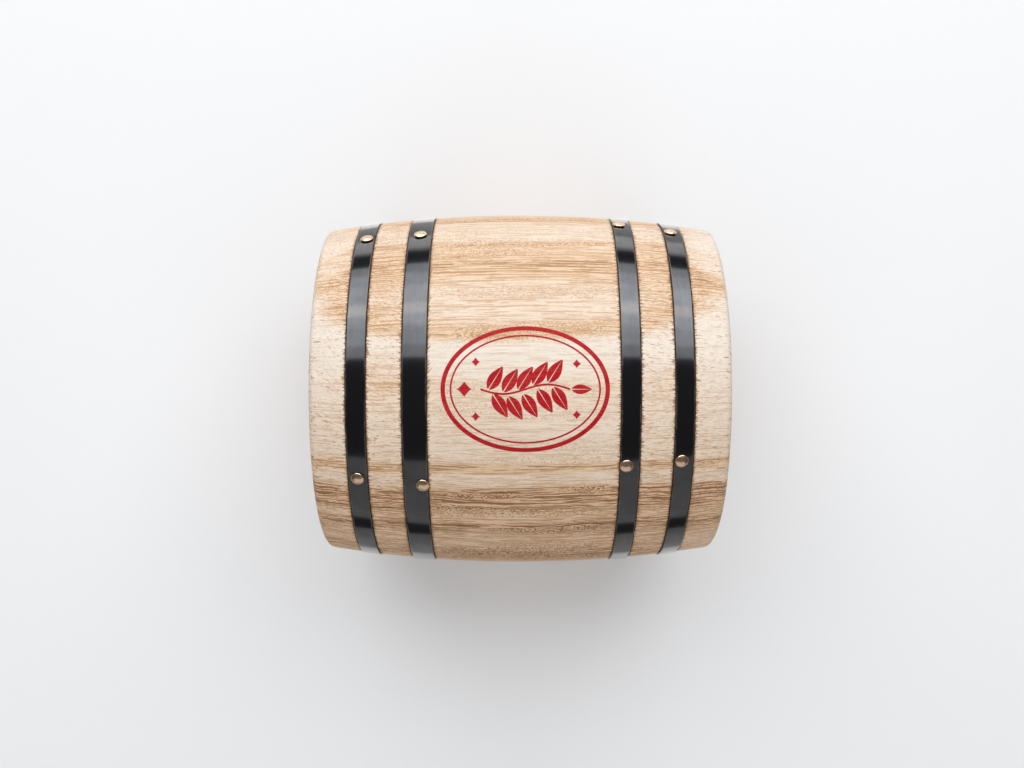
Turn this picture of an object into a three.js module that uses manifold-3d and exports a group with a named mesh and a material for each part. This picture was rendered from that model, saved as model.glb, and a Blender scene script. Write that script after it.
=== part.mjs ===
// A turned wooden barrel canister: a one-piece barrel shell with four tacked steel hoops, a glued-in
// bottom head and a push-in lid with a low knob. It lies on its side. The barrel's axis runs along X,
// Z is up, and the origin is on the floor under mid-length. The base end is at -X and the lid end at +X.
// Lengths are in millimetres and angles in degrees.

import * as THREE from "three";
import { mergeVertices } from "three/addons/utils/BufferGeometryUtils.js";
import Module from "manifold-3d";

// Barrel shell
const BARREL_LENGTH = 144;
const BILGE_RADIUS = 66.5; // outside, at mid-length
const CHIME_RADIUS = 60.75; // outside, at either end
const CHIME_WALL = 6.5; // thickness of the rim at either end
const CHIME_ROUND = 2.5; // rounding of the rim's outer edge
const RIM_CHAMFER = 0.8; // break of the rim's inner edge
const LEDGE_WIDTH = 4; // step inside either end that the head or the lid seats on

// Bottom head
const BASE_RECESS = 9; // from the rim to the head
const HEAD_THICKNESS = 9;
const HEAD_BEVEL = 1;
const HEAD_CLEARANCE = 0.25; // glue line round the head

// Lid
const LID_RECESS = 12; // from the rim to the lid
const LID_FLANGE = 7; // thickness of the part that seats on the ledge
const LID_BEVEL = 1.2;
const LID_CLEARANCE = 0.45; // round the flange and the plug
const PLUG_DEPTH = 11; // length of the part that fills the bore
const PLUG_LEAD = 1.5; // lead-in chamfer of the plug

// Silicone seal round the plug
const SEAL_WIDTH = 4;
const SEAL_GROOVE_DEPTH = 2.4;
const SEAL_INSET = 3; // from the flange to the groove
const SEAL_SEAT_GAP = 0.25; // to the floor and the sides of its groove
const SEAL_BORE_GAP = 0.15; // to the barrel's bore

// Knob and its screw
const KNOB_BELOW_RIM = 2.5; // the knob stays this far inside the barrel's end
const KNOB_RADIUS = 12;
const KNOB_FOOT_RADIUS = 8.5;
const KNOB_WAIST_RADIUS = 6.8;
const KNOB_FOOT_HEIGHT = 1.6;
const KNOB_BRIM = 2.2; // height of the knob's upright edge
const KNOB_CROWN = 1.2; // rise of its domed top
const KNOB_SKIN = 3.2; // wood left over the screw's tip
const SCREW_RADIUS = 1.75;
const SCREW_HEAD_RADIUS = 3.6;
const SCREW_HEAD_HEIGHT = 2.1;
const SCREW_POINT = 2.4;
const SCREW_CLEARANCE = 0.25;

// Hoops: strips bent round the barrel in shallow grooves, each with a lapped joint under one of its tacks
const HOOP_THICKNESS = 0.8;
const GROOVE_DEPTH = 0.5;
const HOOP_SEAT_GAP = 0.15; // to the floor of the groove
const HOOP_SIDE_GAP = 0.3; // to the sides of the groove
const LAP_GAP = 0.15; // between the two layers of the lap
const LAP_FLATS = 2; // flats that the lap covers

// Tacks
const TACK_HEAD_RADIUS = 2.3;
const TACK_HEAD_EDGE = 0.35; // upright edge of the head
const TACK_HEAD_RISE = 1.2; // height of the whole head
const TACK_SHANK_RADIUS = 0.75;
const TACK_LENGTH = 8; // under the head
const TACK_POINT = 2;
const TACK_SEAT_GAP = 0.1; // under the head
const TACK_CLEARANCE = 0.2; // round the shank and past its point

const SEAT_GAP = 0.2; // between pieces that seat on each other
const FLATS = 40; // flats round the barrel and what fits in it
const SMALL_FLATS = 24; // flats round the knob
const PIN_FLATS = 12; // flats round the tacks and the screw
const BILGE_STEPS = 7; // straight steps along the barrel between its two quarter hoops
const ROUND_STEPS = 3; // straight steps round the rim's edge
const DOME_STEPS = 4; // straight steps up a domed top

// Where each hoop's middle is, from the end that the hoop is near, and how wide the hoop is
const BASE_END_HOOP_INSET = 16.35;
const BASE_END_HOOP_WIDTH = 6.6;
const BASE_QUARTER_HOOP_INSET = 36.3;
const BASE_QUARTER_HOOP_WIDTH = 8.2;
const LID_QUARTER_HOOP_INSET = 34.8;
const LID_QUARTER_HOOP_WIDTH = 6.4;
const LID_END_HOOP_INSET = 16.4;
const LID_END_HOOP_WIDTH = 6.4;

// Each hoop with its tacks. A tack's angle runs round the barrel from the top towards -Y. Its place across
// is a share of the hoop's width, from the hoop's middle towards +X. The tack marked lap holds the joint.
const BASE_END = -1;
const LID_END = 1;
const HOOPS = [
  {
    name: "base_end_hoop",
    end: BASE_END,
    inset: BASE_END_HOOP_INSET,
    width: BASE_END_HOOP_WIDTH,
    tacks: [
      { angle: 28.7, across: -0.015 },
      { angle: -57.9, across: 0.075 },
      { angle: 119, across: 0, lap: true },
      { angle: -149, across: 0.03 },
    ],
  },
  {
    name: "base_quarter_hoop",
    end: BASE_END,
    inset: BASE_QUARTER_HOOP_INSET,
    width: BASE_QUARTER_HOOP_WIDTH,
    tacks: [
      { angle: 29.8, across: 0.29 },
      { angle: -57.4, across: 0 },
      { angle: 121, across: 0.04, lap: true },
      { angle: -150, across: -0.05 },
    ],
  },
  {
    name: "lid_quarter_hoop",
    end: LID_END,
    inset: LID_QUARTER_HOOP_INSET,
    width: LID_QUARTER_HOOP_WIDTH,
    tacks: [
      { angle: 23.3, across: -0.19 },
      { angle: -66.1, across: -0.14 },
      { angle: 114, across: 0.03, lap: true },
      { angle: -155, across: 0.05 },
    ],
  },
  {
    name: "lid_end_hoop",
    end: LID_END,
    inset: LID_END_HOOP_INSET,
    width: LID_END_HOOP_WIDTH,
    tacks: [
      { angle: 22.5, across: -0.11 },
      { angle: -63.5, across: -0.11 },
      { angle: 112, across: 0.02, lap: true },
      { angle: -157, across: -0.03 },
    ],
  },
];

// Sizes that follow from the ones above
const halfLength = BARREL_LENGTH / 2;
const rebateRadius = CHIME_RADIUS - CHIME_WALL;
const boreRadius = rebateRadius - LEDGE_WIDTH;
const headInnerFace = -halfLength + BASE_RECESS + HEAD_THICKNESS;
const baseLedge = headInnerFace + SEAT_GAP;
const lidSeat = halfLength - LID_RECESS - LID_FLANGE;
const lidLedge = lidSeat - SEAT_GAP;
const flatAngle = (2 * Math.PI) / FLATS;
const axisHeight = BILGE_RADIUS * Math.cos(flatAngle / 2);

// Finishes
const wood = { color: 0xdcc09c, roughness: 0.8, metalness: 0 };
const blackSteel = { color: 0x1c1c1f, roughness: 0.35, metalness: 0.6 };
const copper = { color: 0xb8895f, roughness: 0.35, metalness: 1 };
const silicone = { color: 0xe6e3dc, roughness: 0.6, metalness: 0 };
const zincSteel = { color: 0xb9b9b4, roughness: 0.4, metalness: 1 };

const wasm = await Module();
wasm.setup();

// The barrel's outside: a parabola from the bilge to either chime.
function outsideRadius(x) {
  return BILGE_RADIUS - (BILGE_RADIUS - CHIME_RADIUS) * (x / halfLength) ** 2;
}

function grooveRadius(x) {
  return outsideRadius(x) - GROOVE_DEPTH;
}

function hoopInnerRadius(x) {
  return grooveRadius(x) + HOOP_SEAT_GAP;
}

function hoopMiddle(hoop) {
  return hoop.end * (halfLength - hoop.inset);
}

// Points of an arc from one angle to another, as [x, radius] pairs.
function arc(x, radius, size, from, to, steps) {
  return Array.from({ length: steps + 1 }, (_, i) => {
    const angle = THREE.MathUtils.degToRad(from + ((to - from) * i) / steps);
    return [x + size * Math.cos(angle), radius + size * Math.sin(angle)];
  });
}

// A piece turned about the X axis from a profile of [x, radius] pairs. A flat faces straight down.
function turned(profile, flats = FLATS) {
  const points = profile.map(([x, radius]) => new THREE.Vector2(radius, x));
  return new THREE.LatheGeometry(points, flats, Math.PI / flats).rotateZ(-Math.PI / 2);
}

// A closed ring has its first point again at its end.
function turnedRing(profile, flats = FLATS) {
  return turned([...profile, profile[0]], flats);
}

function solidOf(geometry, matrix = new THREE.Matrix4()) {
  const bare = geometry.clone().applyMatrix4(matrix);
  bare.deleteAttribute("normal");
  bare.deleteAttribute("uv");
  const merged = mergeVertices(bare);
  return new wasm.Manifold(
    new wasm.Mesh({
      numProp: 3,
      vertProperties: merged.attributes.position.array,
      triVerts: new Uint32Array(merged.index.array),
    }),
  );
}

function geometryOf(solid) {
  const mesh = solid.getMesh();
  const geometry = new THREE.BufferGeometry();
  geometry.setAttribute("position", new THREE.BufferAttribute(mesh.vertProperties, 3));
  geometry.setIndex(new THREE.BufferAttribute(mesh.triVerts, 1));
  geometry.computeVertexNormals();
  return geometry;
}

function cut(geometry, cutters) {
  return geometryOf(cutters.reduce((solid, cutter) => solid.subtract(cutter), solidOf(geometry)));
}

function addPiece(parent, name, geometry, finish) {
  const piece = new THREE.Mesh(geometry, new THREE.MeshStandardMaterial(finish));
  piece.name = name;
  parent.add(piece);
}

// The barrel shell, bored through and stepped at both ends for the head and the lid.
function shellProfile() {
  const round = Math.min(CHIME_ROUND, CHIME_WALL - RIM_CHAMFER);
  const roundX = halfLength - round;
  const roundRadius = outsideRadius(roundX) - round;
  const outside = arc(-roundX, roundRadius, round, 180, 90, ROUND_STEPS);
  const hoopsAlong = [...HOOPS].sort((a, b) => hoopMiddle(a) - hoopMiddle(b));
  hoopsAlong.forEach((hoop, i) => {
    const from = hoopMiddle(hoop) - hoop.width / 2 - HOOP_SIDE_GAP;
    const to = hoopMiddle(hoop) + hoop.width / 2 + HOOP_SIDE_GAP;
    if (hoop.end === LID_END && hoopsAlong[i - 1].end === BASE_END) {
      const start = outside[outside.length - 1][0];
      for (let step = 1; step < BILGE_STEPS; step++) {
        const x = start + ((from - start) * step) / BILGE_STEPS;
        outside.push([x, outsideRadius(x)]);
      }
    }
    outside.push([from, outsideRadius(from)], [from, grooveRadius(from)]);
    outside.push([to, grooveRadius(to)], [to, outsideRadius(to)]);
  });
  outside.push(...arc(roundX, roundRadius, round, 90, 0, ROUND_STEPS));
  return [
    ...outside,
    [halfLength, rebateRadius + RIM_CHAMFER],
    [halfLength - RIM_CHAMFER, rebateRadius],
    [lidLedge, rebateRadius],
    [lidLedge, boreRadius],
    [baseLedge, boreRadius],
    [baseLedge, rebateRadius],
    [-halfLength + RIM_CHAMFER, rebateRadius],
    [-halfLength, rebateRadius + RIM_CHAMFER],
  ];
}

function headProfile() {
  const radius = rebateRadius - HEAD_CLEARANCE;
  const outerFace = -halfLength + BASE_RECESS;
  return [
    [outerFace, 0],
    [outerFace, radius - HEAD_BEVEL],
    [outerFace + HEAD_BEVEL, radius],
    [headInnerFace, radius],
    [headInnerFace, 0],
  ];
}

// The lid and what is on it are drawn with x = 0 at the underside of the lid's flange.
const plugRadius = boreRadius - LID_CLEARANCE;
const sealFloor = plugRadius - SEAL_GROOVE_DEPTH;
const knobHeight = LID_RECESS - KNOB_BELOW_RIM;
const screwTip = LID_FLANGE + knobHeight - KNOB_SKIN;

function lidProfile() {
  const flangeRadius = rebateRadius - LID_CLEARANCE;
  const holeRadius = SCREW_RADIUS + SCREW_CLEARANCE;
  return [
    [-PLUG_DEPTH + SCREW_HEAD_HEIGHT, holeRadius],
    [-PLUG_DEPTH, SCREW_HEAD_RADIUS + SCREW_CLEARANCE],
    [-PLUG_DEPTH, plugRadius - PLUG_LEAD],
    [-PLUG_DEPTH + PLUG_LEAD, plugRadius],
    [-SEAL_INSET - SEAL_WIDTH, plugRadius],
    [-SEAL_INSET - SEAL_WIDTH, sealFloor],
    [-SEAL_INSET, sealFloor],
    [-SEAL_INSET, plugRadius],
    [0, plugRadius],
    [0, flangeRadius],
    [LID_FLANGE - LID_BEVEL, flangeRadius],
    [LID_FLANGE, flangeRadius - LID_BEVEL],
    [LID_FLANGE, holeRadius],
  ];
}

// A flat ring with a rounded lip that reaches for the bore.
function sealProfile() {
  const from = -SEAL_INSET - SEAL_WIDTH + SEAL_SEAT_GAP;
  const to = -SEAL_INSET - SEAL_SEAT_GAP;
  const lip = (to - from) / 2;
  const lipRadius = boreRadius - SEAL_BORE_GAP - lip;
  return [
    ...arc(from + lip, lipRadius, lip, 180, 0, DOME_STEPS),
    [to, sealFloor + SEAL_SEAT_GAP],
    [from, sealFloor + SEAL_SEAT_GAP],
  ];
}

function knobProfile() {
  const foot = LID_FLANGE + SEAT_GAP;
  const top = LID_FLANGE + knobHeight;
  const brimTop = top - KNOB_CROWN;
  const holeRadius = SCREW_RADIUS + SCREW_CLEARANCE;
  const crown = Array.from({ length: DOME_STEPS + 1 }, (_, i) => {
    const angle = (Math.PI / 2) * (i / DOME_STEPS);
    return [brimTop + KNOB_CROWN * Math.sin(angle), KNOB_RADIUS * Math.cos(angle)];
  });
  return [
    [screwTip + SCREW_CLEARANCE, 0],
    [screwTip + SCREW_CLEARANCE - SCREW_POINT, holeRadius],
    [foot, holeRadius],
    [foot, KNOB_FOOT_RADIUS],
    [foot + KNOB_FOOT_HEIGHT, KNOB_WAIST_RADIUS],
    [brimTop - KNOB_BRIM, KNOB_RADIUS],
    ...crown,
  ];
}

function screwProfile() {
  const head = -PLUG_DEPTH + SEAT_GAP;
  return [
    [head, 0],
    [head, SCREW_HEAD_RADIUS],
    [head + SCREW_HEAD_HEIGHT, SCREW_RADIUS],
    [screwTip - SCREW_POINT, SCREW_RADIUS],
    [screwTip, 0],
  ];
}

// A tack stands along its own Z axis, with z = 0 under its head.
function tackGeometry() {
  const dome = TACK_HEAD_RISE - TACK_HEAD_EDGE;
  const domePoints = Array.from({ length: DOME_STEPS + 1 }, (_, i) => {
    const angle = (Math.PI / 2) * (i / DOME_STEPS);
    return new THREE.Vector2(TACK_HEAD_RADIUS * Math.cos(angle), TACK_HEAD_EDGE + dome * Math.sin(angle));
  });
  const points = [
    new THREE.Vector2(0, -TACK_LENGTH),
    new THREE.Vector2(TACK_SHANK_RADIUS, -TACK_LENGTH + TACK_POINT),
    new THREE.Vector2(TACK_SHANK_RADIUS, 0),
    new THREE.Vector2(TACK_HEAD_RADIUS, 0),
    ...domePoints,
  ];
  return new THREE.LatheGeometry(points, PIN_FLATS).rotateX(Math.PI / 2);
}

// The hole that a tack makes: from the underside of its head to just past its point.
function tackHole() {
  const depth = TACK_LENGTH + TACK_CLEARANCE;
  return new THREE.CylinderGeometry(
    TACK_SHANK_RADIUS + TACK_CLEARANCE,
    TACK_SHANK_RADIUS + TACK_CLEARANCE,
    depth,
    PIN_FLATS,
  )
    .rotateX(Math.PI / 2)
    .translate(0, 0, -depth / 2);
}

// A tack stands square to its hoop's sloping face, on the outer layer where it holds the lap.
function placeTack(hoop, tack) {
  const x = hoopMiddle(hoop) + tack.across * hoop.width;
  const layers = tack.lap ? 2 : 1;
  const seat =
    hoopInnerRadius(x) + layers * HOOP_THICKNESS + (layers - 1) * LAP_GAP + TACK_SEAT_GAP;
  const slope = (2 * (BILGE_RADIUS - CHIME_RADIUS) * x) / halfLength ** 2;
  const spoke = new THREE.Group();
  spoke.rotation.x = THREE.MathUtils.degToRad(tack.angle);
  const holder = new THREE.Group();
  holder.position.set(x, 0, seat);
  holder.rotation.y = Math.atan(slope);
  spoke.add(holder);
  spoke.updateMatrixWorld(true);
  return { spoke, holder };
}

// A strip wound once round the barrel, with its end lifted over its start. The strip is drawn in the
// plane across the barrel, extruded to its width and then flared to follow the barrel's slope.
function hoopStrip(hoop) {
  const middle = hoopMiddle(hoop);
  const lapAngle = THREE.MathUtils.degToRad(hoop.tacks.find((tack) => tack.lap).angle);
  const firstCorner = Math.round(lapAngle / flatAngle - LAP_FLATS / 2 - 0.5) + 0.5;
  const corners = Array.from({ length: FLATS + LAP_FLATS + 1 }, (_, i) => {
    const lift = i < FLATS ? 0 : HOOP_THICKNESS + LAP_GAP;
    return { angle: (firstCorner + i) * flatAngle, radius: hoopInnerRadius(middle) + lift };
  });
  const at = (angle, radius) => new THREE.Vector2(-radius * Math.sin(angle), radius * Math.cos(angle));
  const inner = corners.map(({ angle, radius }) => at(angle, radius));
  const outer = corners.map(({ angle, radius }) => at(angle, radius + HOOP_THICKNESS));
  const strip = new THREE.ExtrudeGeometry(new THREE.Shape([...outer, ...inner.reverse()]), {
    depth: hoop.width,
    bevelEnabled: false,
  });
  const acrossToBarrel = new THREE.Matrix4().makeBasis(
    new THREE.Vector3(0, 1, 0),
    new THREE.Vector3(0, 0, 1),
    new THREE.Vector3(1, 0, 0),
  );
  strip.applyMatrix4(acrossToBarrel).translate(middle - hoop.width / 2, 0, 0);
  const position = strip.getAttribute("position");
  for (let i = 0; i < position.count; i++) {
    const [x, y, z] = [position.getX(i), position.getY(i), position.getZ(i)];
    const radius = Math.hypot(y, z);
    const flared = (radius + hoopInnerRadius(x) - hoopInnerRadius(middle)) / radius;
    position.setXYZ(i, x, y * flared, z * flared);
  }
  return strip;
}

// Assembly
const canister = new THREE.Group();
const barrel = new THREE.Group();
barrel.position.z = axisHeight;
canister.add(barrel);

const shellHoles = [];
for (const hoop of HOOPS) {
  const hoopHoles = hoop.tacks.map((tack, i) => {
    const { spoke, holder } = placeTack(hoop, tack);
    barrel.add(spoke);
    addPiece(holder, `${hoop.name}_tack_${i + 1}`, tackGeometry(), copper);
    return solidOf(tackHole(), holder.matrixWorld);
  });
  shellHoles.push(...hoopHoles);
  addPiece(barrel, hoop.name, cut(hoopStrip(hoop), hoopHoles), blackSteel);
}
addPiece(barrel, "barrel_shell", cut(turnedRing(shellProfile()), shellHoles), wood);
addPiece(barrel, "bottom_head", turned(headProfile()), wood);

const lid = new THREE.Group();
lid.position.x = lidSeat;
barrel.add(lid);
addPiece(lid, "lid_disc", turnedRing(lidProfile()), wood);
addPiece(lid, "lid_seal", turnedRing(sealProfile()), silicone);
addPiece(lid, "lid_knob", turned(knobProfile(), SMALL_FLATS), wood);
addPiece(lid, "knob_screw", turned(screwProfile(), PIN_FLATS), zincSteel);

export default canister;
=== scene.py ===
"""Looks of a turned wooden barrel canister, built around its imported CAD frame.

The barrel lies on its side with its axis along X, the base end at -X and the lid end at +X. Sizes in the
classes below are in millimetres, angles are in degrees, and meshes are made in metres. An angle round the
barrel runs from the top towards -Y.
"""

from __future__ import annotations

import logging
import math
import random
from collections.abc import Iterable, Sequence
from dataclasses import dataclass, field
from enum import Enum
from functools import cached_property
from typing import Any, ClassVar

import bmesh
import bpy
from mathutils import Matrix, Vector

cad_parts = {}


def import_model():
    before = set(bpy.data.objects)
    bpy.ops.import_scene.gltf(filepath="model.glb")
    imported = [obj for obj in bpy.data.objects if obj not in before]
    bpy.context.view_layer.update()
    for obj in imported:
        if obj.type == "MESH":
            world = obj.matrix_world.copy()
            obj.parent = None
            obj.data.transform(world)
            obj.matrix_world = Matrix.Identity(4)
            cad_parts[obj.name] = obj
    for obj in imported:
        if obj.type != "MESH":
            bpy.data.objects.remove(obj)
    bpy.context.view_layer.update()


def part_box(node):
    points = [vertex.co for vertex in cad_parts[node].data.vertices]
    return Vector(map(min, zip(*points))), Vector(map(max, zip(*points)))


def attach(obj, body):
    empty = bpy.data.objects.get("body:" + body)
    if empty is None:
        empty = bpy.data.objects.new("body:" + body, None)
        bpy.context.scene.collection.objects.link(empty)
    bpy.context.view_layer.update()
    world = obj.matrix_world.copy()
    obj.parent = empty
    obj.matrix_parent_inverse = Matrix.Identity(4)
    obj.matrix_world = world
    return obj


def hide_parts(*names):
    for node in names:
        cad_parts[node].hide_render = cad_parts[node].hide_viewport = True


LOG = logging.getLogger("canister")
MM = 0.001

VALUE = "NodeSocketFloat"
VECTOR = "NodeSocketVector"
WHOLE_NUMBER = "NodeSocketInt"
MATERIAL = "NodeSocketMaterial"

Point = tuple[float, float]
Triple = tuple[float, float, float]
Colour = tuple[float, float, float, float]
BLACK: Colour = (0.0, 0.0, 0.0, 1.0)
WHITE: Colour = (1.0, 1.0, 1.0, 1.0)


class Wire:
    """The output of a node. Sums with it add Math nodes to its sheet."""

    def __init__(self, sheet: NodeSheet, socket: bpy.types.NodeSocket) -> None:
        """Keep the sheet and the output."""
        self.sheet = sheet
        self.socket = socket

    def __add__(self, other: Any) -> Wire:
        """Add another value."""
        return self.sheet.math("ADD", self, other)

    def __sub__(self, other: Any) -> Wire:
        """Take another value away."""
        return self.sheet.math("SUBTRACT", self, other)

    def __rsub__(self, other: Any) -> Wire:
        """Take this value away from a number."""
        return self.sheet.math("SUBTRACT", other, self)

    def __mul__(self, other: Any) -> Wire:
        """Multiply by another value."""
        return self.sheet.math("MULTIPLY", self, other)

    def __truediv__(self, other: Any) -> Wire:
        """Divide by another value."""
        return self.sheet.math("DIVIDE", self, other)

    def __neg__(self) -> Wire:
        """Change the sign."""
        return self * -1.0

    def __abs__(self) -> Wire:
        """Drop the sign."""
        return self.sheet.math("ABSOLUTE", self)

    def ease(self, low: Any, high: Any, kind: str = "SMOOTHSTEP") -> Wire:
        """Rise from 0 at one value to 1 at another, smoothly or as kind says."""
        inputs = {"Value": self, "From Min": low, "From Max": high}
        return self.sheet.get("ShaderNodeMapRange", inputs, interpolation_type=kind)

    def over(self, level: Wire, softness: float) -> Wire:
        """Rise from 0 at a level to 1 a little above it."""
        return self.ease(level, level + softness)


@dataclass(frozen=True)
class Pattern:
    """A noise pattern: how often it changes along X and across it in a millimetre, and how fine it is."""

    along: float
    across: float
    detail: float = 1.0
    roughness: float = 0.5


class NodeSheet:
    """A node tree with short ways to add and join nodes."""

    def __init__(self, tree: bpy.types.NodeTree) -> None:
        """Keep the tree that nodes are added to."""
        self.tree = tree

    def feed(self, socket: bpy.types.NodeSocket, value: Any) -> None:
        """Fill an input with a plain value, or join it to a wire."""
        if isinstance(value, Wire):
            self.tree.links.new(value.socket, socket)
        else:
            socket.default_value = value

    def add(self, kind: str, inputs: dict | None = None, **settings: Any) -> bpy.types.Node:
        """Add a node.

        Args:
            kind: Blender's name of the node type.
            inputs: Plain values or wires by input name or number.
            **settings: The node's own properties.

        Returns:
            The new node.
        """
        node = self.tree.nodes.new(kind)
        for name, value in settings.items():
            setattr(node, name, value)
        for key, value in (inputs or {}).items():
            self.feed(node.inputs[key], value)
        return node

    def get(self, kind: str, inputs: dict | None = None, output: int | str = 0, **settings: Any) -> Wire:
        """Add a node as above and return one of its outputs."""
        return Wire(self, self.add(kind, inputs, **settings).outputs[output])

    def outputs(self, node: bpy.types.Node) -> dict[str, Wire]:
        """Return a node's outputs by name."""
        return {socket.name: Wire(self, socket) for socket in node.outputs}

    def math(self, operation: str, first: Any, second: Any = 0.0) -> Wire:
        """Add a Math node and return its output."""
        return self.get("ShaderNodeMath", {0: first, 1: second}, operation=operation)

    def larger(self, first: Any, second: Any) -> Wire:
        """Return the larger of two values."""
        return self.math("MAXIMUM", first, second)

    def vector(self, operation: str, first: Any, second: Any = (0.0, 0.0, 0.0)) -> Wire:
        """Add a Vector Math node and return its output."""
        output = "Value" if operation in ("DOT_PRODUCT", "LENGTH") else "Vector"
        return self.get("ShaderNodeVectorMath", {0: first, 1: second}, output, operation=operation)

    def split(self, vector: Wire) -> list[Wire]:
        """Return the X, Y and Z of a vector."""
        return list(self.outputs(self.add("ShaderNodeSeparateXYZ", {0: vector})).values())

    def join(self, x: Any, y: Any, z: Any) -> Wire:
        """Return a vector of X, Y and Z."""
        return self.get("ShaderNodeCombineXYZ", {0: x, 1: y, 2: z})

    def noise(self, position: Wire, pattern: Pattern) -> Wire:
        """Return a 3-D noise value of 0 to 1."""
        stretched = self.vector("MULTIPLY", position, (pattern.along, pattern.across, pattern.across))
        inputs = {"Vector": stretched, "Scale": 1.0, "Detail": pattern.detail, "Roughness": pattern.roughness}
        return self.get("ShaderNodeTexNoise", inputs)

    def blend(self, factor: Any, first: Any, second: Any) -> Wire:
        """Mix two colours and return the result."""
        return self.get("ShaderNodeMix", {0: factor, 6: first, 7: second}, 2, data_type="RGBA")

    def lerp(self, factor: Any, first: Any, second: Any) -> Wire:
        """Mix two values and return the result."""
        return self.get("ShaderNodeMix", {0: factor, 2: first, 3: second}, data_type="FLOAT")

    def ramp(self, value: Wire, stops: Sequence[Point]) -> Wire:
        """Look a value up in a list of grey stops.

        Args:
            value: What is looked up, 0 to 1.
            stops: Pairs of a place, 0 to 1 and rising, and the grey value there.

        Returns:
            The grey value as a colour output.
        """
        node = self.add("ShaderNodeValToRGB", {0: value})
        elements = node.color_ramp.elements
        while len(elements) < len(stops):
            elements.new(1.0)
        for element, (place, grey) in zip(elements, stops):
            element.position = place
            element.color = (grey, grey, grey, 1.0)
        return Wire(self, node.outputs[0])


class SharedGroup:
    """A shader node group that several finishes use."""

    def __init__(
        self, name: str, vectors: Sequence[str], values: Sequence[str], results: Sequence[str]
    ) -> None:
        """Make the empty group.

        Args:
            name: The group's name.
            vectors: Names of the inputs that take a vector.
            values: Names of the inputs that take a value.
            results: Names of the outputs, which are values.
        """
        self.tree = bpy.data.node_groups.new(name, "ShaderNodeTree")
        for names, kind in ((vectors, VECTOR), (values, VALUE)):
            for socket in names:
                self.tree.interface.new_socket(name=socket, in_out="INPUT", socket_type=kind)
        for socket in results:
            self.tree.interface.new_socket(name=socket, in_out="OUTPUT", socket_type=VALUE)
        self.sheet = NodeSheet(self.tree)
        self.given = self.sheet.outputs(self.sheet.add("NodeGroupInput"))

    def put_out(self, **results: Wire) -> None:
        """Join wires to the group's outputs."""
        self.sheet.add("NodeGroupOutput", results)


# Pairs of a depth from the middle of the log and how brown the wood is there, from the far side of the log to
# the face that shows most. Brown 0 is cream, 1 is tan and 1.5 is brown.
RING_ZONES: tuple[Point, ...] = (
    (-66.0, 0.50), (-59.8, 0.95), (-59.2, 0.20), (-49.0, 1.05), (-40.0, 0.45), (-30.0, 1.25), (-20.0, 0.90),
    (-4.0, 1.24), (6.0, 0.94), (13.0, 0.96), (18.0, 1.26), (22.5, 0.88), (26.2, 1.05), (27.0, 1.36),
    (27.8, 1.08), (30.0, 1.26), (32.3, 1.48), (34.6, 1.26), (35.1, 0.62), (39.0, 0.46), (40.6, 1.02),
    (42.2, 1.06), (43.4, 0.48), (52.0, 0.36), (59.8, 0.44), (61.4, 0.10), (64.5, 0.00), (64.7, 1.08),
    (65.4, 0.86), (65.95, 0.70), (66.15, 0.42), (66.4, 0.60),
)

# The same rings where they come up again beyond the face that shows most.
FAR_RING_ZONES: tuple[Point, ...] = (
    (20.0, 0.80), (30.0, 1.15), (32.0, 0.65), (44.0, 0.70), (51.0, 1.00), (51.9, 0.62), (57.0, 0.38),
    (60.3, 0.44), (61.2, 0.94), (61.7, 0.96), (62.2, 0.66), (63.4, 0.92), (63.9, 0.84), (64.7, 1.10),
    (65.3, 0.98), (65.95, 0.78), (66.15, 0.62), (66.4, 0.66),
)
RING_SPAN = 70.0
BROWNEST = 1.6
LOG_BENDS = ("bow", "twist", "skew", "tilt", "tip", "flame", "pale_ends")


@dataclass(frozen=True)
class LogPlaces:
    """Where the log's bends, its pale ends and its brown flame are.

    A pair says where an effect starts and where it is full: along the barrel, aside across the rings, or deep
    from the middle of the log. The flame's middle and size are given along the barrel and across it.
    """

    end_along: Point = (54.0, 68.0)
    base_veer_along: Point = (-66.0, -50.0)
    lid_veer_along: Point = (50.0, 70.0)
    lid_veer_share: float = 1.7
    level_along: Point = (48.0, 60.0)
    level_aside: Point = (-15.0, -40.0)
    tip_along: Point = (-57.0, -71.0)
    tip_aside: Point = (14.0, 2.0)
    slack_deep: Point = (62.0, 40.0)
    least_slack: float = 0.22
    slow_share: float = 0.8
    far_aside: Point = (2.0, 8.0)
    pale_along: Point = (50.0, 68.0)
    pale_aside: Point = (-45.0, -20.0)
    pale_deep: Point = (64.25, 63.75)
    tanned_along: Point = (20.0, -20.0)
    tanned_aside: Point = (0.0, 8.0)
    tanned_share: float = 0.5
    under_along: Point = (40.0, 60.0)
    under_deep: Point = (14.0, 2.0)
    under_share: float = 0.4
    flame_middle: Point = (-46.0, 5.5)
    flame_size: Point = (19.0, 11.0)
    flame_edge: Point = (1.0, 0.2)
    flame_height: Point = (10.0, 30.0)
    flame_streaks: Point = (-0.12, 0.08)
    slow_wander: Pattern = Pattern(0.014, 0.05)
    quick_wander: Pattern = Pattern(0.03, 0.9, 3.0, 0.6)


@dataclass(frozen=True)
class PoreRows:
    """Rows of pores on the barrel's face: their pitch, half a line's width and the length of its breaks."""

    pitch: float
    half_width: float
    breaks: float


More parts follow.
